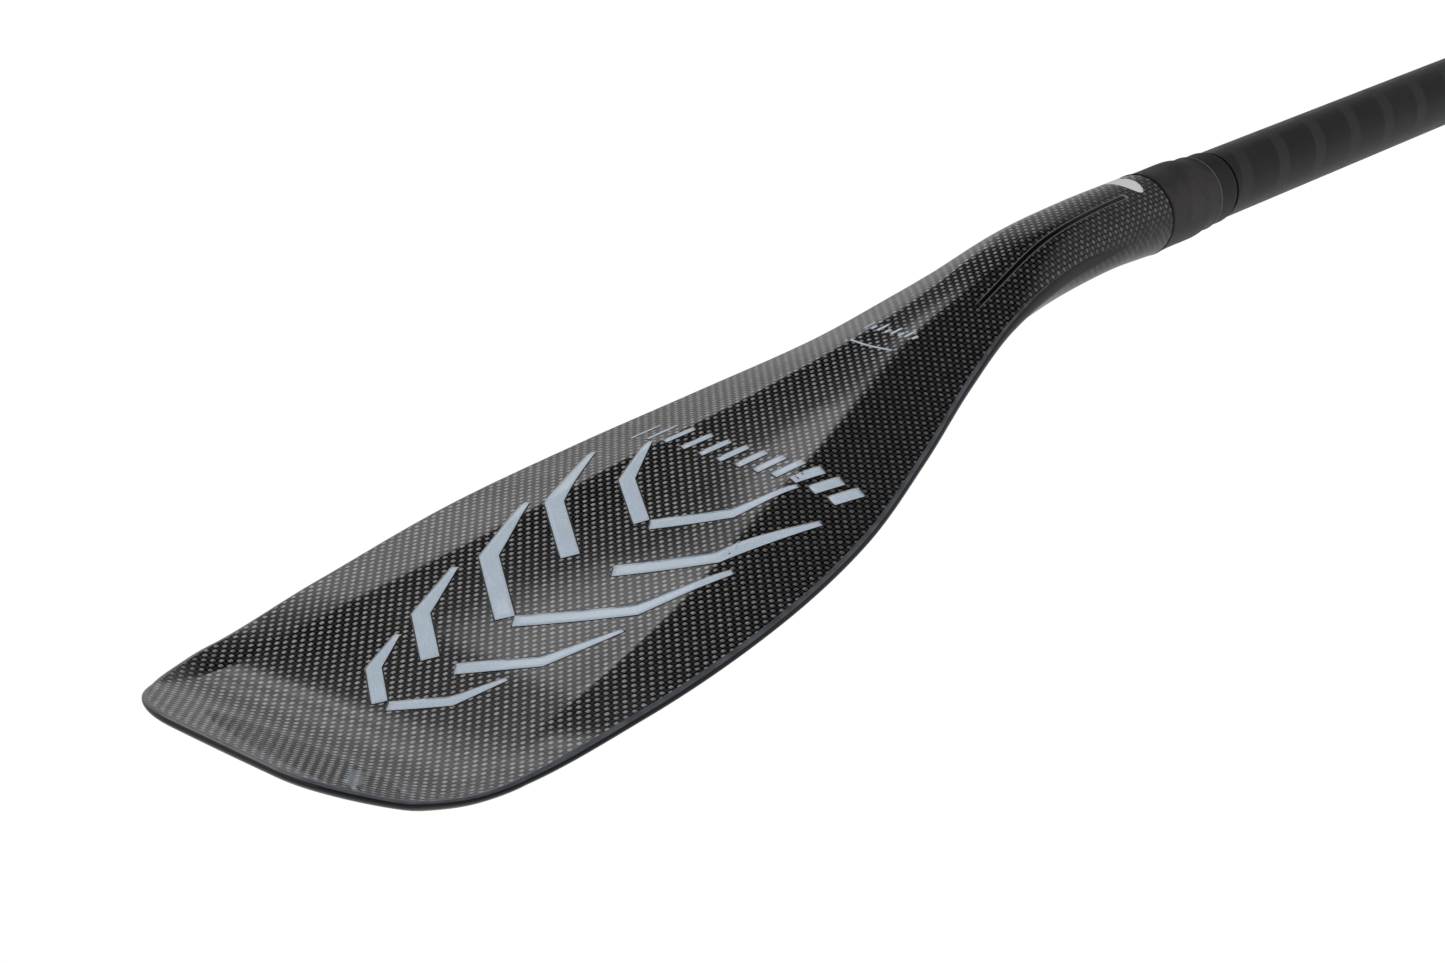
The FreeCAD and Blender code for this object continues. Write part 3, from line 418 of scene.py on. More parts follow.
def turned_piece(name, profile, segments=128, wobble=None, bore=0.0):
    """A ring turned about the shaft's axis from (place, radius) pairs; its bore stays smooth."""
    angles = np.linspace(0, 2 * math.pi, segments, endpoint=False)
    points = []
    for place, radius in profile:
        ring = radius + 0 * angles
        if wobble is not None and radius > bore:
            ring += wobble(place, angles)
        around = [0 * angles + place, ring * np.cos(angles), ring * np.sin(angles)]
        points += list(np.stack(around, axis=1))
    faces = grid_faces(len(profile), segments, around=True)
    last = (len(profile) - 1) * segments
    for j in range(segments):
        k = (j + 1) % segments
        faces.append((last + j, last + k, k, j))
    piece = new_piece(name, points, faces)
    smooth_by_angle(piece, SHARP)
    return piece


def shell_faces(rows, columns, up=True):
    """Faces of a closed shell: a grid of outer points, the same of inner ones, and the walls."""
    count = rows * columns
    faces = grid_faces(rows, columns, flip=not up)
    faces += grid_faces(rows, columns, start=count, flip=up)
    border = [(i, 0) for i in range(rows)]
    border += [(rows - 1, j) for j in range(1, columns)]
    border += [(i, columns - 1) for i in range(rows - 2, -1, -1)]
    border += [(0, j) for j in range(columns - 2, 0, -1)]
    ring = [i * columns + j for i, j in border]
    for k, a in enumerate(ring):
        b = ring[(k + 1) % len(ring)]
        wall = (a, b, b + count, a + count)
        faces.append(wall if up else tuple(reversed(wall)))
    return faces


def smooth_by_angle(piece, degrees):
    """Keeps edges sharper than an angle."""
    piece.data.set_sharp_from_angle(angle=math.radians(degrees))


# --- the blade's pieces --------------------------------------------------------------------------


# Rows and columns of the skins' grid, how the columns crowd at the crease and at the edge, and
# the least and greatest share of the half width that lies inside the crease.
ROWS_ALONG = 200
ROWS_CORNER = 30
PANEL_COLUMNS = 20
WING_COLUMNS = 26
PANEL_CROWDING = 1.7
WING_CROWDING = 0.14
CREASE_SHARES = (0.3, 0.88)
BEAD_STEPS = 13
TIP_STEPS = 21
SHARP = 50


def skin_rows():
    """Reaches of the skins' rows, closing up around the tip's corners."""
    along = np.linspace(0, CORNER, ROWS_ALONG, endpoint=False)
    turn = np.sin(np.linspace(0, math.pi / 2, ROWS_CORNER + 1))
    return np.concatenate([along, CORNER + (LENGTH - BEAD - CORNER) * turn])


def skin_shares(flat):
    """Shares of the half width whose columns crowd at the crease and at the edge."""
    step = np.linspace(0, 1, PANEL_COLUMNS, endpoint=False)
    inner = flat * (1 - (1 - step) ** PANEL_CROWDING)
    step = np.linspace(0, 1, WING_COLUMNS + 1)
    outer = flat + (1 - flat) * (step - WING_CROWDING * np.sin(2 * math.pi * step))
    half = np.concatenate([inner, outer])
    return np.concatenate([-half[:0:-1], half])


def skin_grid():
    """Reach and across of every point of a skin."""
    reach = skin_rows()
    rows = []
    for r in reach:
        half = float(outline_width(r, BEAD * bladeness(r)))
        flat = float(np.clip(crease(r) / half, *CREASE_SHARES))
        rows.append(half * skin_shares(flat))
    across = np.array(rows)
    return np.repeat(reach[:, None], across.shape[1], axis=1), across


def cloth_map(points):
    """Lengths along and across the cloth for a grid of points."""
    steps = np.linalg.norm(np.diff(points, axis=1), axis=2)
    middle = points.shape[1] // 2
    across = np.concatenate([np.zeros((len(points), 1)), np.cumsum(steps, axis=1)], axis=1)
    across -= across[:, middle : middle + 1]
    spine = np.linalg.norm(np.diff(points[:, middle], axis=0), axis=1)
    along = np.concatenate([[0], np.cumsum(spine)])
    return np.stack([np.repeat(along[:, None], points.shape[1], axis=1), across], axis=2)


def skin_piece(name, surface, thickness):
    """A closed shell between a surface and its inside."""
    reach, across = skin_grid()
    outer = on_surface(surface, reach, across)
    inner = on_surface(surface, reach, across, -thickness)
    seam = height(reach) - fall(reach) - EDGE / 2 * bladeness(reach)
    keep = np.maximum if thickness > 0 else np.minimum
    inner[:, :, 2] = np.where(bladeness(reach) < 1, keep(inner[:, :, 2], seam), inner[:, :, 2])
    points = np.concatenate([outer.reshape(-1, 3), inner.reshape(-1, 3)])
    uv = cloth_map(outer).reshape(-1, 2)
    faces = shell_faces(*reach.shape, up=thickness > 0)
    piece = new_piece(name, points, faces, np.concatenate([uv, uv]))
    smooth_by_angle(piece, SHARP)
    return piece


def edge_path(inset):
    """Points along the outline, from one shoulder round the tip to the other."""
    along = np.linspace(BEAD_START, CORNER, ROWS_ALONG, endpoint=False)
    turn = np.sin(np.linspace(0, math.pi / 2, ROWS_CORNER + 1))
    reach = np.concatenate([along, CORNER + (LENGTH - inset - CORNER) * turn])
    across = outline_width(reach, np.where(reach < CORNER, inset * bladeness(reach), inset))
    tip = np.linspace(TIP_FLAT, -TIP_FLAT, TIP_STEPS)[1:-1]
    reach = np.concatenate([reach, 0 * tip + LENGTH - inset, reach[::-1]])
    across = np.concatenate([across, tip, -across[::-1]])
    return reach, across


def edge_bead():
    """The rounded rim between the two skins, as one closed strip."""
    inner_reach, inner_across = edge_path(BEAD)
    outer_reach, outer_across = edge_path(0.0)
    top = face_height(inner_reach, inner_across)
    foot = back_height(inner_reach, inner_across)
    outside = (face_height(outer_reach, outer_across) + back_height(outer_reach, outer_across)) / 2
    middle = (top + foot) / 2
    rows = []
    for angle in np.linspace(0, math.pi, BEAD_STEPS):
        out, up = math.sin(angle), math.cos(angle)
        reach = inner_reach + (outer_reach - inner_reach) * out
        across = inner_across + (outer_across - inner_across) * out
        rise = middle + (outside - middle) * out + (top - foot) / 2 * up
        rows.append(np.stack([-reach, across, rise], axis=1))
    points = np.array(rows).transpose(1, 0, 2)
    count, around = points.shape[:2]
    faces = grid_faces(count, around, around=True)
    faces.append(tuple(range(around)))
    faces.append(tuple(reversed(range((count - 1) * around, count * around))))
    piece = new_piece("edge_bead", points.reshape(-1, 3), faces)
    smooth_by_angle(piece, SHARP)
    return piece


# --- the sleeve and the grip's pad ---------------------------------------------------------------


def sleeve_bumps(place, angles):
    """Slight unevenness of the shrunk sleeve around a place."""
    slow = np.sin(2 * angles + 0.21 * place) + 0.6 * np.sin(3 * angles - 0.13 * place + 1.0)
    quick = 0.5 * np.sin(7 * angles + 0.45 * place) * math.sin(0.5 * place)
    return SLEEVE_BUMPS * (slow + quick) / 2


def neck_sleeve():
    """The sleeve shrunk over the neck's end and the tube."""
    places, radii = np.array(SLEEVE_OUTLINE).T
    steps = np.arange(places[0], places[-1], SLEEVE_STEP)
    steps = np.unique(np.concatenate([places, steps]))
    profile = list(zip(steps, np.interp(steps, places, radii)))
    profile += [(places[-1], SLEEVE_BORE), (places[0], SLEEVE_BORE)]
    return turned_piece("neck_sleeve", profile, 160, sleeve_bumps, SLEEVE_BORE)


def edge_and_shadow_ring():
    """A black ring between the neck's mouth and the sleeve: the sleeve's own dark edge, and painted
    shadow in the gap there.
    """
    start, end = EDGE_SHADOW_SPAN
    lip = EDGE_SHADOW_RADIUS - EDGE_SHADOW_BEVEL
    profile = [
        (start, lip),
        (start + EDGE_SHADOW_BEVEL, EDGE_SHADOW_RADIUS),
        (end - EDGE_SHADOW_BEVEL, EDGE_SHADOW_RADIUS),
        (end, lip),
        (end, SLEEVE_BORE),
        (start, SLEEVE_BORE),
    ]
    return turned_piece("edge_and_shadow_ring", profile)


def border_round(off):
    """0 at a border and 1 past it, along a quarter round; off is the distance from the border."""
    return np.sqrt(1 - (1 - np.clip(off / PAD_BORDER, 0.0, 1.0)) ** 2)


def pad_wall(turn, from_end, from_foot):
    """The pad's wall: rounded off at its borders and grooved inside them."""
    rounded = border_round(from_end) * border_round(from_foot)
    comb = np.cos(math.pi * (PAD_GROOVES + 1) * (turn + 1) / 2)[None, :] ** GROOVE_SHARPNESS
    end_clear, foot_clear = GROOVES_CLEAR
    inside = smooth_step((from_end - end_clear) / GROOVES_FADE)
    inside = inside * smooth_step((from_foot - foot_clear) / GROOVES_FADE)
    return PAD_RIM + (PAD_WALL - PAD_RIM) * rounded - PAD_GROOVE_DEPTH * comb * inside


def grip_pad_shell():
    """The soft pad over the palm bar, with rounded borders and shallow grooves along it."""
    across = np.linspace(-PAD_HALF, PAD_HALF, PAD_ROWS)
    turn = np.linspace(-1, 1, PAD_COLUMNS)
    share = across / PALM_HALF
    centre = (PALM_CENTRE - PALM_DROOP * share**2)[:, None]
    shrink = (1 - PALM_TAPER * share**2)[:, None]
    depth, thick = PALM_DEPTH * shrink, PALM_THICK * shrink
    half_turn = np.arccos(np.clip((PAD_FOOT - centre) / depth, -1, 1))
    angle = half_turn * turn[None, :]
    from_end = (PAD_HALF - np.abs(across))[:, None]
    from_foot = half_turn * (1 - np.abs(turn))[None, :] * PALM_THICK
    wall = pad_wall(turn, from_end, from_foot)
    layers = []
    for extra in (wall, PAD_GAP + 0 * wall):
        along = centre + (depth + extra) * np.cos(angle)
        up = (thick + extra) * np.sin(angle)
        layers.append(np.stack([along, across[:, None] + 0 * up, up], axis=2).reshape(-1, 3))
    faces = shell_faces(*wall.shape)
    piece = new_piece("grip_pad", np.concatenate(layers), faces, body="extension")
    smooth_by_angle(piece, PAD_SHARP)
    return piece


# --- printed graphics ----------------------------------------------------------------------------


def offset_sides(points, widths):
    """Left and right side of a line with mitred bends, from its points and widths."""
    points = np.array(points, dtype=float)
    half = np.broadcast_to(np.asarray(widths, dtype=float) / 2, len(points))
    heading = np.diff(points, axis=0)
    heading /= np.linalg.norm(heading, axis=1)[:, None]
    across = np.stack([-heading[:, 1], heading[:, 0]], axis=1)
    side = np.concatenate([across[:1], across[:-1] + across[1:], across[-1:]])
    reach = np.concatenate([across[:1], across[1:], across[-1:]])
    side /= np.sum(side * reach, axis=1)[:, None]
    return points + side * half[:, None], points - side * half[:, None]


def stroke_grid(points, widths, grow=0.0):
    """Rows of places across a line of that width; grow widens and lengthens it all round."""
    points = np.array(points, dtype=float)
    if grow > 0:
        points[0] += grow * (points[0] - points[1]) / np.linalg.norm(points[0] - points[1])
        points[-1] += grow * (points[-1] - points[-2]) / np.linalg.norm(points[-1] - points[-2])
    left, right = offset_sides(points, np.asarray(widths, dtype=float) + 2 * grow)
    rows = []
    for k in range(len(points) - 1):
        steps = max(int(np.linalg.norm(points[k + 1] - points[k]) / PRINT_STEP), 1)
        ends = [left[k], left[k + 1], right[k], right[k + 1]]
        last = k == len(points) - 2
        for t in np.linspace(0, 1, steps + 1)[: None if last else -1]:
            a = ends[0] * (1 - t) + ends[1] * t
            b = ends[2] * (1 - t) + ends[3] * t
            shares = np.linspace(0, 1, PRINT_COLUMNS)
            rows.append([a * (1 - share) + b * share for share in shares])
    return np.array(rows)


def bar_grid(centre, size, slant, grow=0.0):
    """A slanted bar; size is its length along the blade and its width."""
    run, width = size[0] / 2 + grow, size[1] + 2 * grow
    low = (centre[0] - run, centre[1] - slant * run)
    high = (centre[0] + run, centre[1] + slant * run)
    return stroke_grid([low, high], width)


def oval_grid(centre, half_size):
    """An oval; its half sizes are along the blade and across it."""
    rows = []
    for angle in np.linspace(-math.pi / 2, math.pi / 2, OVAL_ROWS):
        reach = centre[0] + half_size[0] * math.sin(angle)
        half = half_size[1] * max(math.cos(angle), OVAL_TIP)
        shares = np.linspace(1, -1, OVAL_COLUMNS)
        rows.append([(reach, centre[1] + half * share) for share in shares])
    return np.array(rows)


def printed(name, grids, lift):
    """Thin closed layers lying on the power face, joined into one piece."""
    points = []
    faces = []
    for grid in grids:
        reach, across = grid[:, :, 0], grid[:, :, 1]
        start = len(points)
        for height_above in (lift, lift - PRINT_THICKNESS):
            points += list(on_surface(face_height, reach, across, height_above).reshape(-1, 3))
        along, side = grid[1, 0] - grid[0, 0], grid[0, 1] - grid[0, 0]
        up = along[0] * side[1] >= along[1] * side[0]
        faces += [tuple(start + k for k in face) for face in shell_faces(*reach.shape, up=up)]
    return new_piece(name, points, faces)


def chevrons():
    """Centre lines and widths of the nested chevrons, whose points aim at the tip."""
    lines = []
    for tip, span, width, gap in CHEVRONS:
        knee_reach = tip - CHEVRON_FALL * span * KNEE_PLACE
        for side in (-1, 1):
            inner = (tip - CHEVRON_FALL * gap, side * gap)
            knee = (knee_reach, side * span * KNEE_PLACE)
            end = (knee_reach - span * END_RUN, side * span * END_PLACE)
            lines.append(([inner, knee, end], [width, width, width * END_WIDTH]))
    return lines


def graphic_grids(grow):
    """The blade's printed shapes: the chevrons and the row of slanted bars."""
    grids = [stroke_grid(line, widths, grow) for line, widths in chevrons()]
    places = np.linspace(*BAR_PLACES, BAR_COUNT)
    widths = np.linspace(*BAR_WIDTHS, BAR_COUNT)
    for place, width in zip(places, widths):
        grids.append(bar_grid((BAR_REACH, place), (BAR_LENGTH, width), BAR_SLANT, grow))
    return grids


def neck_grids():
    """The ruled line on the neck with a row of short slanted ticks above it."""
    grids = [stroke_grid(NECK_LINE, NECK_LINE_WIDTH)]
    for k in range(TICK_COUNT):
        tall = TICK_LENGTHS[k % 2]
        centre = (TICK_FOOT - tall / 2, TICK_START - TICK_STEP * k)
        grids.append(bar_grid(centre, (tall, TICK_WIDTH), TICK_SLANT))
    return grids


def ridge_grid(side, width):
    """A strip along the right side of the neck, off the seam's middle by a side's distance."""
    reach = np.linspace(RIDGE_START, RIDGE_END, RIDGE_ROWS)
    across = side - RIDGE_PLACE - RIDGE_SPREAD * (reach - RIDGE_START) ** 2
    return stroke_grid(np.stack([reach, across], axis=1), width)


# --- node building -------------------------------------------------------------------------------


class Nodes:
    """Builds a material's or the world's node tree with short calls."""

    def __init__(self, tree):
        self.tree = tree
        tree.nodes.clear()

    def add(self, kind, **settings):
        """A node; settings that name an input are values or links, the rest are properties."""
        node = self.tree.nodes.new(kind)
        for key, value in settings.items():
            name = key.replace("_", " ")
            if name in node.inputs:
                self.feed(node.inputs[name], value)
            else:
                setattr(node, key, value)
        return node

    def feed(self, socket, value):
        """Links an output to a socket, or sets its value."""
        if isinstance(value, bpy.types.NodeSocket):
            self.tree.links.new(value, socket)
        elif isinstance(value, tuple) and len(value) == 3 and socket.type == "RGBA":
            socket.default_value = (*value, 1.0)
        else:
            socket.default_value = value

    def maths(self, operation, *values):
        """The result of a maths node."""
        node = self.tree.nodes.new("ShaderNodeMath")
        node.operation = operation
        for socket, value in zip(node.inputs, values):
            self.feed(socket, value)
        return node.outputs[0]

    def scaled(self, value, factor):
        """A value times a number."""
        return self.maths("MULTIPLY", value, factor)

    def product(self, *values):
        """The product of several values."""
        result = values[0]
        for value in values[1:]:
            result = self.maths("MULTIPLY", result, value)
        return result

    def total(self, *values):
        """The sum of several values."""
        result = values[0]
        for value in values[1:]:
            result = self.maths("ADD", result, value)
        return result

    def distance(self, value, centre):
        """How far a value is from a centre."""
        return self.maths("ABSOLUTE", self.maths("SUBTRACT", value, centre))

    def smooth(self, value, low, high, out_low=0.0, out_high=1.0):
        """A smooth step of a value between two limits."""
        node = self.tree.nodes.new("ShaderNodeMapRange")
        node.interpolation_type = "SMOOTHSTEP"
        for name, number in (
            ("Value", value),
            ("From Min", low),
            ("From Max", high),
            ("To Min", out_low),
            ("To Max", out_high),
        ):
            self.feed(node.inputs[name], number)
        return node.outputs["Result"]

    def vector(self, x, y):
        """A flat vector from two values."""
        return self.add("ShaderNodeCombineXYZ", X=x, Y=y).outputs[0]

    def choice(self, share, a, b):
        """Two values mixed."""
        node = self.tree.nodes.new("ShaderNodeMix")
        node.data_type = "FLOAT"
        for name, value in (("Factor", share), ("A", a), ("B", b)):
            self.feed(node.inputs[name], value)
        return node.outputs["Result"]

    def mix(self, share, a, b):
        """Two colours mixed."""
        node = self.tree.nodes.new("ShaderNodeMix")
        node.data_type = "RGBA"
        self.feed(node.inputs["Factor"], share)
        colour_a, colour_b = (port for port in node.inputs if port.type == "RGBA")
        self.feed(colour_a, a)
        self.feed(colour_b, b)
        return next(port for port in node.outputs if port.type == "RGBA")

    def noise(self, vector, scale, detail=2.0, roughness=0.5):
        """Grey noise."""
        node = self.add("ShaderNodeTexNoise", Scale=scale, Detail=detail, Roughness=roughness)
        self.feed(node.inputs["Vector"], vector)
        return node.outputs["Fac"]

    def grey(self, level):
        """A grey, very slightly blue, of a level that is itself worked out by nodes."""
        blue = self.scaled(level, 1.02)
        return self.add("ShaderNodeCombineColor", Red=level, Green=level, Blue=blue).outputs[0]

    def bump(self, value, distance, strength=1.0, normal=None):
        """A bumped normal."""
        node = self.add("ShaderNodeBump", Height=value, Distance=distance, Strength=strength)
        if normal is not None:
            self.feed(node.inputs["Normal"], normal)
        return node.outputs["Normal"]

    def blend(self, share, a, b):
        """Two shaders mixed."""
        node = self.add("ShaderNodeMixShader", Fac=share)
        self.tree.links.new(a, node.inputs[1])
        self.tree.links.new(b, node.inputs[2])
        return node.outputs[0]


def new_material(name):
    """An empty material and its node builder."""
    material = bpy.data.materials.new(name)
    material.use_nodes = True
    return material, Nodes(material.node_tree)


def show(nodes, shader):
    """Sends a shader to the material's output."""
    out = nodes.add("ShaderNodeOutputMaterial")
    nodes.tree.links.new(shader, out.inputs["Surface"])


def place_parts(nodes, vector):
    """The three parts of a vector."""
    split = nodes.add("ShaderNodeSeparateXYZ", Vector=vector)
    return split.outputs[0], split.outputs[1], split.outputs[2]


def object_place(nodes):
    """The place on the object, in metres."""
    return nodes.add("ShaderNodeTexCoord").outputs["Object"]


# --- materials -----------------------------------------------------------------------------------


WHITE = (1.0, 1.0, 1.0)
COAT_IOR = 1.5
COAT_ROUGHNESS = 0.03


def coated(nodes, base, roughness=COAT_ROUGHNESS):
    """A shader under a glossy clear coat that is very slightly wavy."""
    waves = nodes.noise(object_place(nodes), 130.0, 1.0)
    normal = nodes.bump(waves, 0.0004, 0.05)
    fresnel = nodes.add("ShaderNodeFresnel", IOR=COAT_IOR, Normal=normal)
    coat = nodes.add(
        "ShaderNodeBsdfAnisotropic", Color=WHITE, Roughness=roughness, Normal=normal
    )
    return nodes.blend(fresnel.outputs[0], base, coat.outputs[0])


def tow_profile(nodes, place):
    """Height across a tow, 1 at its middle and 0 where it dives under the next one."""
    off = nodes.distance(nodes.maths("FRACT", place), 0.5)
    return nodes.maths("SUBTRACT", 1.0, nodes.maths("POWER", nodes.scaled(off, 2.0), TOW_SHAPE))


def tow_fibres(nodes, u, v, crosswise):
    """Fine streaks that run along each tow, from 0.6 to 1.4."""
    along = nodes.vector(nodes.scaled(u, FIBRE_LENGTHWISE), nodes.scaled(v, FIBRE_ACROSS))
    across = nodes.vector(nodes.scaled(u, FIBRE_ACROSS), nodes.scaled(v, FIBRE_LENGTHWISE))
    fibre = nodes.mix(crosswise, nodes.noise(along, 1.0), nodes.noise(across, 1.0))
    return nodes.total(0.6, nodes.scaled(fibre, 0.8))


def downward_neck_grey(nodes, woven):
    """The tows' level, giving way to a cloudy grey where the neck faces downwards."""
    place = object_place(nodes)
    x, _, _ = place_parts(nodes, place)
    _, _, facing = place_parts(nodes, nodes.add("ShaderNodeNewGeometry").outputs["Normal"])
    lower_side = nodes.smooth(facing, *DOWNWARD_GREY_FACING, 1.0, 0.0)
    share = nodes.product(nodes.smooth(x, *DOWNWARD_GREY_SPAN), lower_side)
    cloudy = nodes.smooth(nodes.noise(place, 160.0, 4.0), 0.3, 0.7, *DOWNWARD_GREY_LEVELS)
    return nodes.choice(share, woven, cloudy)


def carbon_cloth():
    """Plain-woven carbon under a clear coat: a chequer of lengthwise and crosswise tows, whose
    colour carries a painted sheen, lightest on each tow's crown and on the crosswise tows, with
    painted shade where a tow dives under the next.
    """
    material, nodes = new_material("carbon_cloth")
    uv = nodes.add("ShaderNodeUVMap", uv_map="cloth").outputs["UV"]
    along, across, _ = place_parts(nodes, uv)
    u = nodes.maths("DIVIDE", along, TOW * MM)
    v = nodes.maths("DIVIDE", across, TOW * MM)
    cell_u = nodes.maths("FLOOR", u)
    cell_v = nodes.maths("FLOOR", v)
    crosswise = nodes.maths("FLOORED_MODULO", nodes.total(cell_u, cell_v), 2.0)
    crown = nodes.product(tow_profile(nodes, u), tow_profile(nodes, v))

    cell = nodes.vector(cell_u, cell_v)
    chance = nodes.add("ShaderNodeTexWhiteNoise", noise_dimensions="2D", Vector=cell).outputs[0]
    uneven = nodes.total(0.78, nodes.scaled(chance, 0.44))
    # Painted sheen: a tow's colour is lightest on its crown, and painted shade darkens it where it
    # dives under the next tow.
    painted_crown_sheen = nodes.smooth(crown, *CROWN_PAINTED_SHEEN)
    level = downward_neck_grey(nodes, nodes.product(tow_fibres(nodes, u, v, crosswise), uneven, painted_crown_sheen))

    normal = nodes.bump(crown, CROWN_HEIGHT * MM, 0.8)
    # The tows' diffuse colour is a painted sheen: the crosswise tows are painted far lighter than
    # the lengthwise ones.
    painted_sheen_share = nodes.smooth(crosswise, 0.0, 1.0, LENGTHWISE_PAINTED_SHEEN, CROSSWISE_PAINTED_SHEEN)
    sheen_share = nodes.smooth(crosswise, 0.0, 1.0, LENGTHWISE_SHEEN, CROSSWISE_SHEEN)
    painted_sheen_colour = nodes.grey(nodes.product(level, painted_sheen_share))
    dull = nodes.add("ShaderNodeBsdfDiffuse", Color=painted_sheen_colour, Normal=normal)
    tangent = nodes.add("ShaderNodeTangent", direction_type="UV_MAP", uv_map="cloth")
    sheen = nodes.add(
        "ShaderNodeBsdfAnisotropic",
        Color=nodes.grey(nodes.product(level, sheen_share)),
        Roughness=SHEEN_ROUGHNESS,
        Anisotropy=SHEEN_ANISOTROPY,
        Rotation=nodes.scaled(crosswise, 0.25),
        Tangent=tangent.outputs["Tangent"],
        Normal=normal,
    )
    tows = nodes.tree.nodes.new("ShaderNodeAddShader")
    nodes.tree.links.new(dull.outputs[0], tows.inputs[0])
    nodes.tree.links.new(sheen.outputs[0], tows.inputs[1])
    show(nodes, coated(nodes, tows.outputs[0]))
    return material


def paint(name, colour, sparkle=0.1):
    """Printed paint with a fine metallic sparkle, under the blade's clear coat."""
    material, nodes = new_material(name)
    place = object_place(nodes)
    grains = nodes.noise(place, 2600.0, 2.0)
    patches = nodes.noise(place, 90.0, 2.0)
    low = tuple(c * (1 - 2 * sparkle) for c in colour)
    high = tuple(c * (1 + sparkle) for c in colour)
    speckled = nodes.mix(nodes.smooth(grains, 0.32, 0.68), low, high)
    toned = nodes.mix(nodes.smooth(patches, 0.3, 0.8, 0.0, 0.35), speckled, low)
    dull = nodes.add("ShaderNodeBsdfDiffuse", Color=toned)
    show(nodes, coated(nodes, dull.outputs[0]))
    return material


def bead_resin():
    """Black resin rim with a painted blue-grey reflection on its flanks, turning black at the very
    edge.
    """
    material, nodes = new_material("bead_resin")
    _, _, facing = place_parts(nodes, nodes.add("ShaderNodeNewGeometry").outputs["Normal"])
    # Painted reflection: where the rim faces up or down it is coloured blue-grey; where it faces
    # sideways, at the very edge, it stays black.
    painted_reflection_flank = nodes.smooth(nodes.maths("ABSOLUTE", facing), 0.55, 0.8)
    cloudy = nodes.smooth(nodes.noise(object_place(nodes), 160.0, 3.0), 0.3, 0.7)
    clear = nodes.mix(cloudy, (0.05, 0.056, 0.066), (0.085, 0.092, 0.105))
    shade = nodes.mix(painted_reflection_flank, (0.006, 0.006, 0.007), clear)
    dull = nodes.add("ShaderNodeBsdfDiffuse", Color=shade)
    show(nodes, coated(nodes, dull.outputs[0], 0.12))
    return material


def plain(name, colour, roughness, metallic=0.0, coat=0.0, grain=0.0, fineness=2500.0, edge=0.0):
    """A material with patches in its colour, fine grain in its surface and, where edge is above 0,
    edges rounded to that many millimetres in the light."""
    material, nodes = new_material(name)
    place = object_place(nodes)
    fine = nodes.noise(place, fineness, 3.0)
    broad = nodes.noise(place, 60.0, 2.0)
    dark = tuple(c * 0.8 for c in colour)
    shade = nodes.mix(nodes.smooth(broad, 0.3, 0.7), dark, colour)
    rough = nodes.smooth(fine, 0.3, 0.7, roughness * 0.88, roughness * 1.12)
    base = None
    if edge > 0:
        base = nodes.add("ShaderNodeBevel", Radius=edge * MM, samples=4).outputs["Normal"]
    normal = nodes.bump(fine, 0.00002, grain, base)
    shader = nodes.add(
        "ShaderNodeBsdfPrincipled",
        Base_Color=shade,
        Roughness=rough,
        Metallic=metallic,
        Normal=normal,
        Coat_Weight=coat,
        Coat_Roughness=0.08,
    )
    show(nodes, shader.outputs["BSDF"])
    return material


def shrink_rubber():
    """Matte brownish black shrink tube, darker past the ring line and scuffed in places, with a
    painted highlight along the ridge of the ring line.
    """
    material, nodes = new_material("shrink_tube")
    place = object_place(nodes)
    x, _, _ = place_parts(nodes, place)
    past_ring = nodes.smooth(x, SLEEVE_RING * MM, (SLEEVE_RING + RING_BEVEL) * MM)
    # A painted highlight: a light line along the ridge of the ring line.
    off_ring = nodes.distance(x, (SLEEVE_RING - RING_BEVEL) * MM)
    painted_ring_highlight = nodes.smooth(off_ring, 0.0, RING_HIGHLIGHT_WIDTH * MM, 1.0, 0.0)
    fine = nodes.noise(place, 1800.0, 3.0)
    scuffs = nodes.smooth(nodes.noise(place, 70.0, 4.0), 0.35, 0.7)
    scuffed = nodes.mix(scuffs, (0.018, 0.0155, 0.0155), (0.034, 0.03, 0.029))
    shade = nodes.mix(past_ring, scuffed, (0.011, 0.0105, 0.0105))
    lined = nodes.mix(painted_ring_highlight, shade, (0.09, 0.085, 0.08))
    rough = nodes.smooth(fine, 0.3, 0.7, 0.46, 0.6)
    normal = nodes.bump(fine, 0.00003, 0.5)
    shader = nodes.add("ShaderNodeBsdfPrincipled", Base_Color=lined, Roughness=rough, Normal=normal)
    show(nodes, shader.outputs["BSDF"])
    return material


def band_lines(nodes, off, inside):
    """Fine lines inside a tape band; off is the distance from the band's middle."""
    ripple = nodes.maths("COSINE", nodes.scaled(off, 2 * math.pi / TAPE_LINES))
    return nodes.product(nodes.smooth(ripple, 0.8, 1.0), inside)


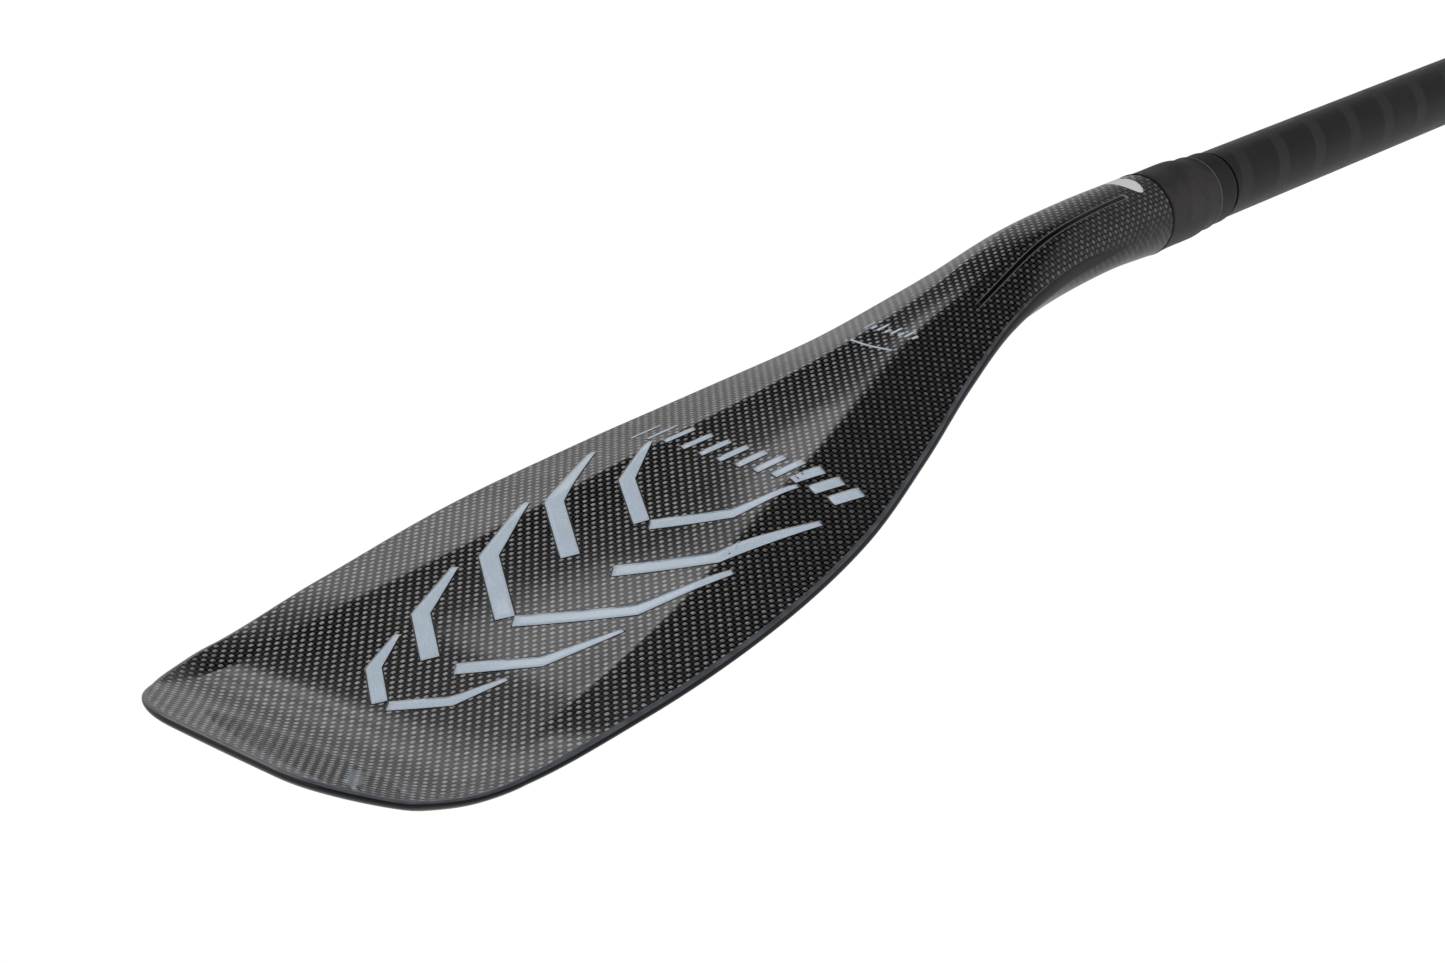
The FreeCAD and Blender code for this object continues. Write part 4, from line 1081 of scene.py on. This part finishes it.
def taped_tube():
    """Satin tube with the marks of its shrink tape, a slow helix of lighter bands."""
    material, nodes = new_material("taped_tube")
    place = object_place(nodes)
    x, y, z = place_parts(nodes, place)
    angle = nodes.maths("ARCTAN2", z, y)
    along = nodes.maths("DIVIDE", x, TAPE_PITCH * MM)
    turns = nodes.total(along, nodes.maths("DIVIDE", angle, 2 * math.pi))
    off = nodes.distance(nodes.maths("FRACT", turns), 0.5)
    inside = nodes.smooth(off, *TAPE_EDGE, 1.0, 0.0)
    lines = nodes.smooth(band_lines(nodes, off, inside), 0.0, 1.0, 0.0, 0.5)
    clouds = nodes.smooth(nodes.noise(place, 45.0, 3.0), 0.3, 0.75, 0.0, 0.3)
    grain = nodes.smooth(nodes.noise(place, 900.0, 3.0), 0.3, 0.7, 0.3, 0.38)
    shade = nodes.mix(inside, (0.0045, 0.0045, 0.005), (0.017, 0.018, 0.019))
    lined = nodes.mix(lines, shade, (0.035, 0.036, 0.038))
    shader = nodes.add(
        "ShaderNodeBsdfPrincipled",
        Base_Color=nodes.mix(clouds, lined, (0.014, 0.014, 0.015)),
        Roughness=nodes.total(grain, nodes.scaled(inside, 0.08)),
        Normal=nodes.bump(inside, 0.00006, 0.6),
    )
    show(nodes, shader.outputs["BSDF"])
    return material


def dress(material, *names):
    """Gives CAD nodes a material."""
    for name in names:
        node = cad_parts[name]
        node.data.materials.clear()
        node.data.materials.append(material)


def wear(piece, material):
    """Gives a piece a material."""
    piece.data.materials.append(material)
    return piece


# --- studio --------------------------------------------------------------------------------------


def camera():
    """The camera at the reference viewpoint."""
    data = bpy.data.cameras.new("camera")
    data.lens = LENS
    data.sensor_width = SENSOR
    data.clip_start = 0.01
    data.clip_end = 50.0
    holder = bpy.data.objects.new("camera", data)
    bpy.context.collection.objects.link(holder)
    holder.location = CAMERA_PLACE
    look = Vector(CAMERA_AHEAD).to_track_quat("-Z", "Y")
    roll = Quaternion((0, 0, 1), math.radians(CAMERA_ROLL))
    holder.rotation_mode = "QUATERNION"
    holder.rotation_quaternion = look @ roll
    bpy.context.scene.camera = holder


def floor(low):
    """A plain white floor at a height."""
    sides = (-FLOOR_HALF, FLOOR_HALF)
    corners = [(x, y, low) for x in sides for y in sides]
    mesh = bpy.data.meshes.new("floor")
    mesh.from_pydata(corners, [], [(0, 2, 3, 1)])
    piece = bpy.data.objects.new("floor", mesh)
    bpy.context.collection.objects.link(piece)
    material, nodes = new_material("white_floor")
    path = nodes.add("ShaderNodeLightPath")
    incoming = nodes.add("ShaderNodeNewGeometry").outputs["Incoming"]
    _, _, steepness = place_parts(nodes, incoming)
    mirrored = nodes.smooth(steepness, *FLOOR_MIRRORED)
    light = nodes.choice(path.outputs["Is Glossy Ray"], FLOOR_LIGHT, mirrored)
    show(nodes, nodes.add("ShaderNodeEmission", Strength=light).outputs[0])
    wear(piece, material)


def window(nodes, azimuth, elevation, centre, size, soft):
    """1 inside a soft-edged window of the reflected studio, 0 outside; sizes are half angles."""
    inside = []
    for angle, middle, half in zip((azimuth, elevation), centre, size):
        off = nodes.distance(angle, middle)
        inside.append(nodes.smooth(off, half - soft, half + soft, 1.0, 0.0))
    return nodes.product(*inside)


def reflected_studio(nodes):
    """Brightness of the studio that reflections see: grey walls, windows and a dark ceiling."""
    direction = nodes.add("ShaderNodeTexCoord").outputs["Generated"]
    x, y, z = place_parts(nodes, direction)
    azimuth = nodes.scaled(nodes.maths("ARCTAN2", y, x), 180 / math.pi)
    elevation = nodes.scaled(nodes.maths("ARCSINE", z), 180 / math.pi)
    rim = nodes.total(*(nodes.smooth(azimuth, *step) for step in RIM_STEPS))
    wall = nodes.smooth(nodes.maths("SUBTRACT", elevation, rim), *RIM_FADE, 1.0, 0.0)
    level = nodes.total(*(nodes.smooth(azimuth, *step) for step in WALL_STEPS))
    seen = [nodes.product(wall, level, nodes.smooth(azimuth, *BEHIND_STEP))]
    for centre, size, soft, strength in WINDOWS:
        seen.append(nodes.scaled(window(nodes, azimuth, elevation, centre, size, soft), strength))
    return nodes.total(*seen, nodes.smooth(elevation, *TOP_STEP))


def studio_world():
    """White surroundings for the eye, and the studio for reflections."""
    world = bpy.data.worlds.new("studio")
    bpy.context.scene.world = world
    world.use_nodes = True
    world.cycles.sampling_method = "NONE"
    nodes = Nodes(world.node_tree)
    path = nodes.add("ShaderNodeLightPath")
    glossy = nodes.add("ShaderNodeBackground", Strength=reflected_studio(nodes))
    white = nodes.add("ShaderNodeBackground", Strength=WHITE_LIGHT)
    chosen = nodes.blend(path.outputs["Is Glossy Ray"], white.outputs[0], glossy.outputs[0])
    out = nodes.add("ShaderNodeOutputWorld")
    nodes.tree.links.new(chosen, out.inputs["Surface"])


# --- build ---------------------------------------------------------------------------------------


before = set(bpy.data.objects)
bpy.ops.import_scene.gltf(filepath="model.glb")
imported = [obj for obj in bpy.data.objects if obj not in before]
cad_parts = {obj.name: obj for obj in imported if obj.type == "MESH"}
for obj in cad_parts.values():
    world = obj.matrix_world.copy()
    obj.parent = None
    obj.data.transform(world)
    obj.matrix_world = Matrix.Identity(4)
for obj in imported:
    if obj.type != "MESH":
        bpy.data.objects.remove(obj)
cad_low, cad_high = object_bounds()

cloth = carbon_cloth()
resin = plain("edge_resin", (0.03, 0.032, 0.036), roughness=0.25, coat=0.5)
silver = paint("silver_print", (0.47, 0.55, 0.64))
black_print = paint("print_outline", (0.004, 0.004, 0.005))
ridge_resin = paint("ridge_resin", (0.09, 0.095, 0.1))
sticker_white = paint("sticker_white", (0.62, 0.63, 0.63), sparkle=0.04)
shrink = shrink_rubber()
# Near black for the ring at the neck's mouth: the sleeve's dark edge and painted shadow in the gap.
edge_shadow_black = plain("near_black_edge_shadow", (0.0015, 0.0015, 0.0015), roughness=0.8)
moulded = plain("moulded_black", (0.03, 0.03, 0.032), roughness=0.45, grain=0.5, edge=0.4)
lever_black = plain("lever_black", (0.025, 0.025, 0.027), roughness=0.36, grain=0.2, edge=1.5)
steel = plain("steel", (0.55, 0.55, 0.57), roughness=0.28, metallic=1.0, edge=0.15)
liner = plain("liner", (0.35, 0.35, 0.36), roughness=0.4, edge=0.2)
rubber = plain("rubber", (0.03, 0.03, 0.03), roughness=0.6, grain=0.4)
foam = plain("foam", (0.75, 0.7, 0.6), roughness=0.9, grain=1.0, fineness=800.0)
grip_plastic = plain("grip_plastic", (0.03, 0.03, 0.031), roughness=0.42, grain=0.5)
pad_rubber = plain("pad_rubber", (0.06, 0.06, 0.063), roughness=0.7, grain=0.8, fineness=1200.0)

power = wear(skin_piece("power_face", face_height, SKIN), cloth)
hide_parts("power_face_skin")
back = wear(skin_piece("back_face", back_height, -SKIN), cloth)
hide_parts("back_face_skin")
bead = wear(edge_bead(), bead_resin())
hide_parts("edge_rail")
sleeve = wear(neck_sleeve(), shrink)
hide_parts("shrink_sleeve")
# The black ring at the neck's mouth: the sleeve's dark edge and painted shadow in the gap.
wear(edge_and_shadow_ring(), edge_shadow_black)
pad = wear(grip_pad_shell(), pad_rubber)
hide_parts("grip_cover")

wear(printed("print_outlines", graphic_grids(OUTLINE_GROWTH), OUTLINE_LIFT), black_print)
wear(printed("print_shapes", graphic_grids(0.0), PRINT_LIFT), silver)
wear(printed("neck_seam", [ridge_grid(0.0, RIDGE_SPACING)], RIDGE_LIFT / 2), black_print)
ridges = [ridge_grid(side * RIDGE_SPACING / 2, RIDGE_WIDTH) for side in (-1, 1)]
wear(printed("neck_ridges", ridges, RIDGE_LIFT), ridge_resin)
wear(printed("neck_print", neck_grids(), PRINT_LIFT), silver)
sticker = [oval_grid(STICKER_PLACE, STICKER_HALF)]
wear(printed("blank_sticker", sticker, PRINT_LIFT), sticker_white)

dress(taped_tube(), "lower_shaft", "upper_shaft")
dress(shrink, "grip_sleeve")
dress(moulded, "clamp_body")
dress(lever_black, "clamp_lever")
dress(steel, "clamp_bolt", "clamp_washer", "pivot_barrel")
dress(liner, "clamp_bushing", "cam_washer", "upper_shaft_plug")
dress(rubber, "plug_orings", "shaft_water_plug")
dress(foam, "foam_core")
dress(resin, "neck_socket", "neck_spigot")
dress(grip_plastic, "grip_core")

floor(cad_low.z - FLOOR_GAP)
studio_world()
camera()
bpy.context.scene.view_settings.view_transform = "Standard"
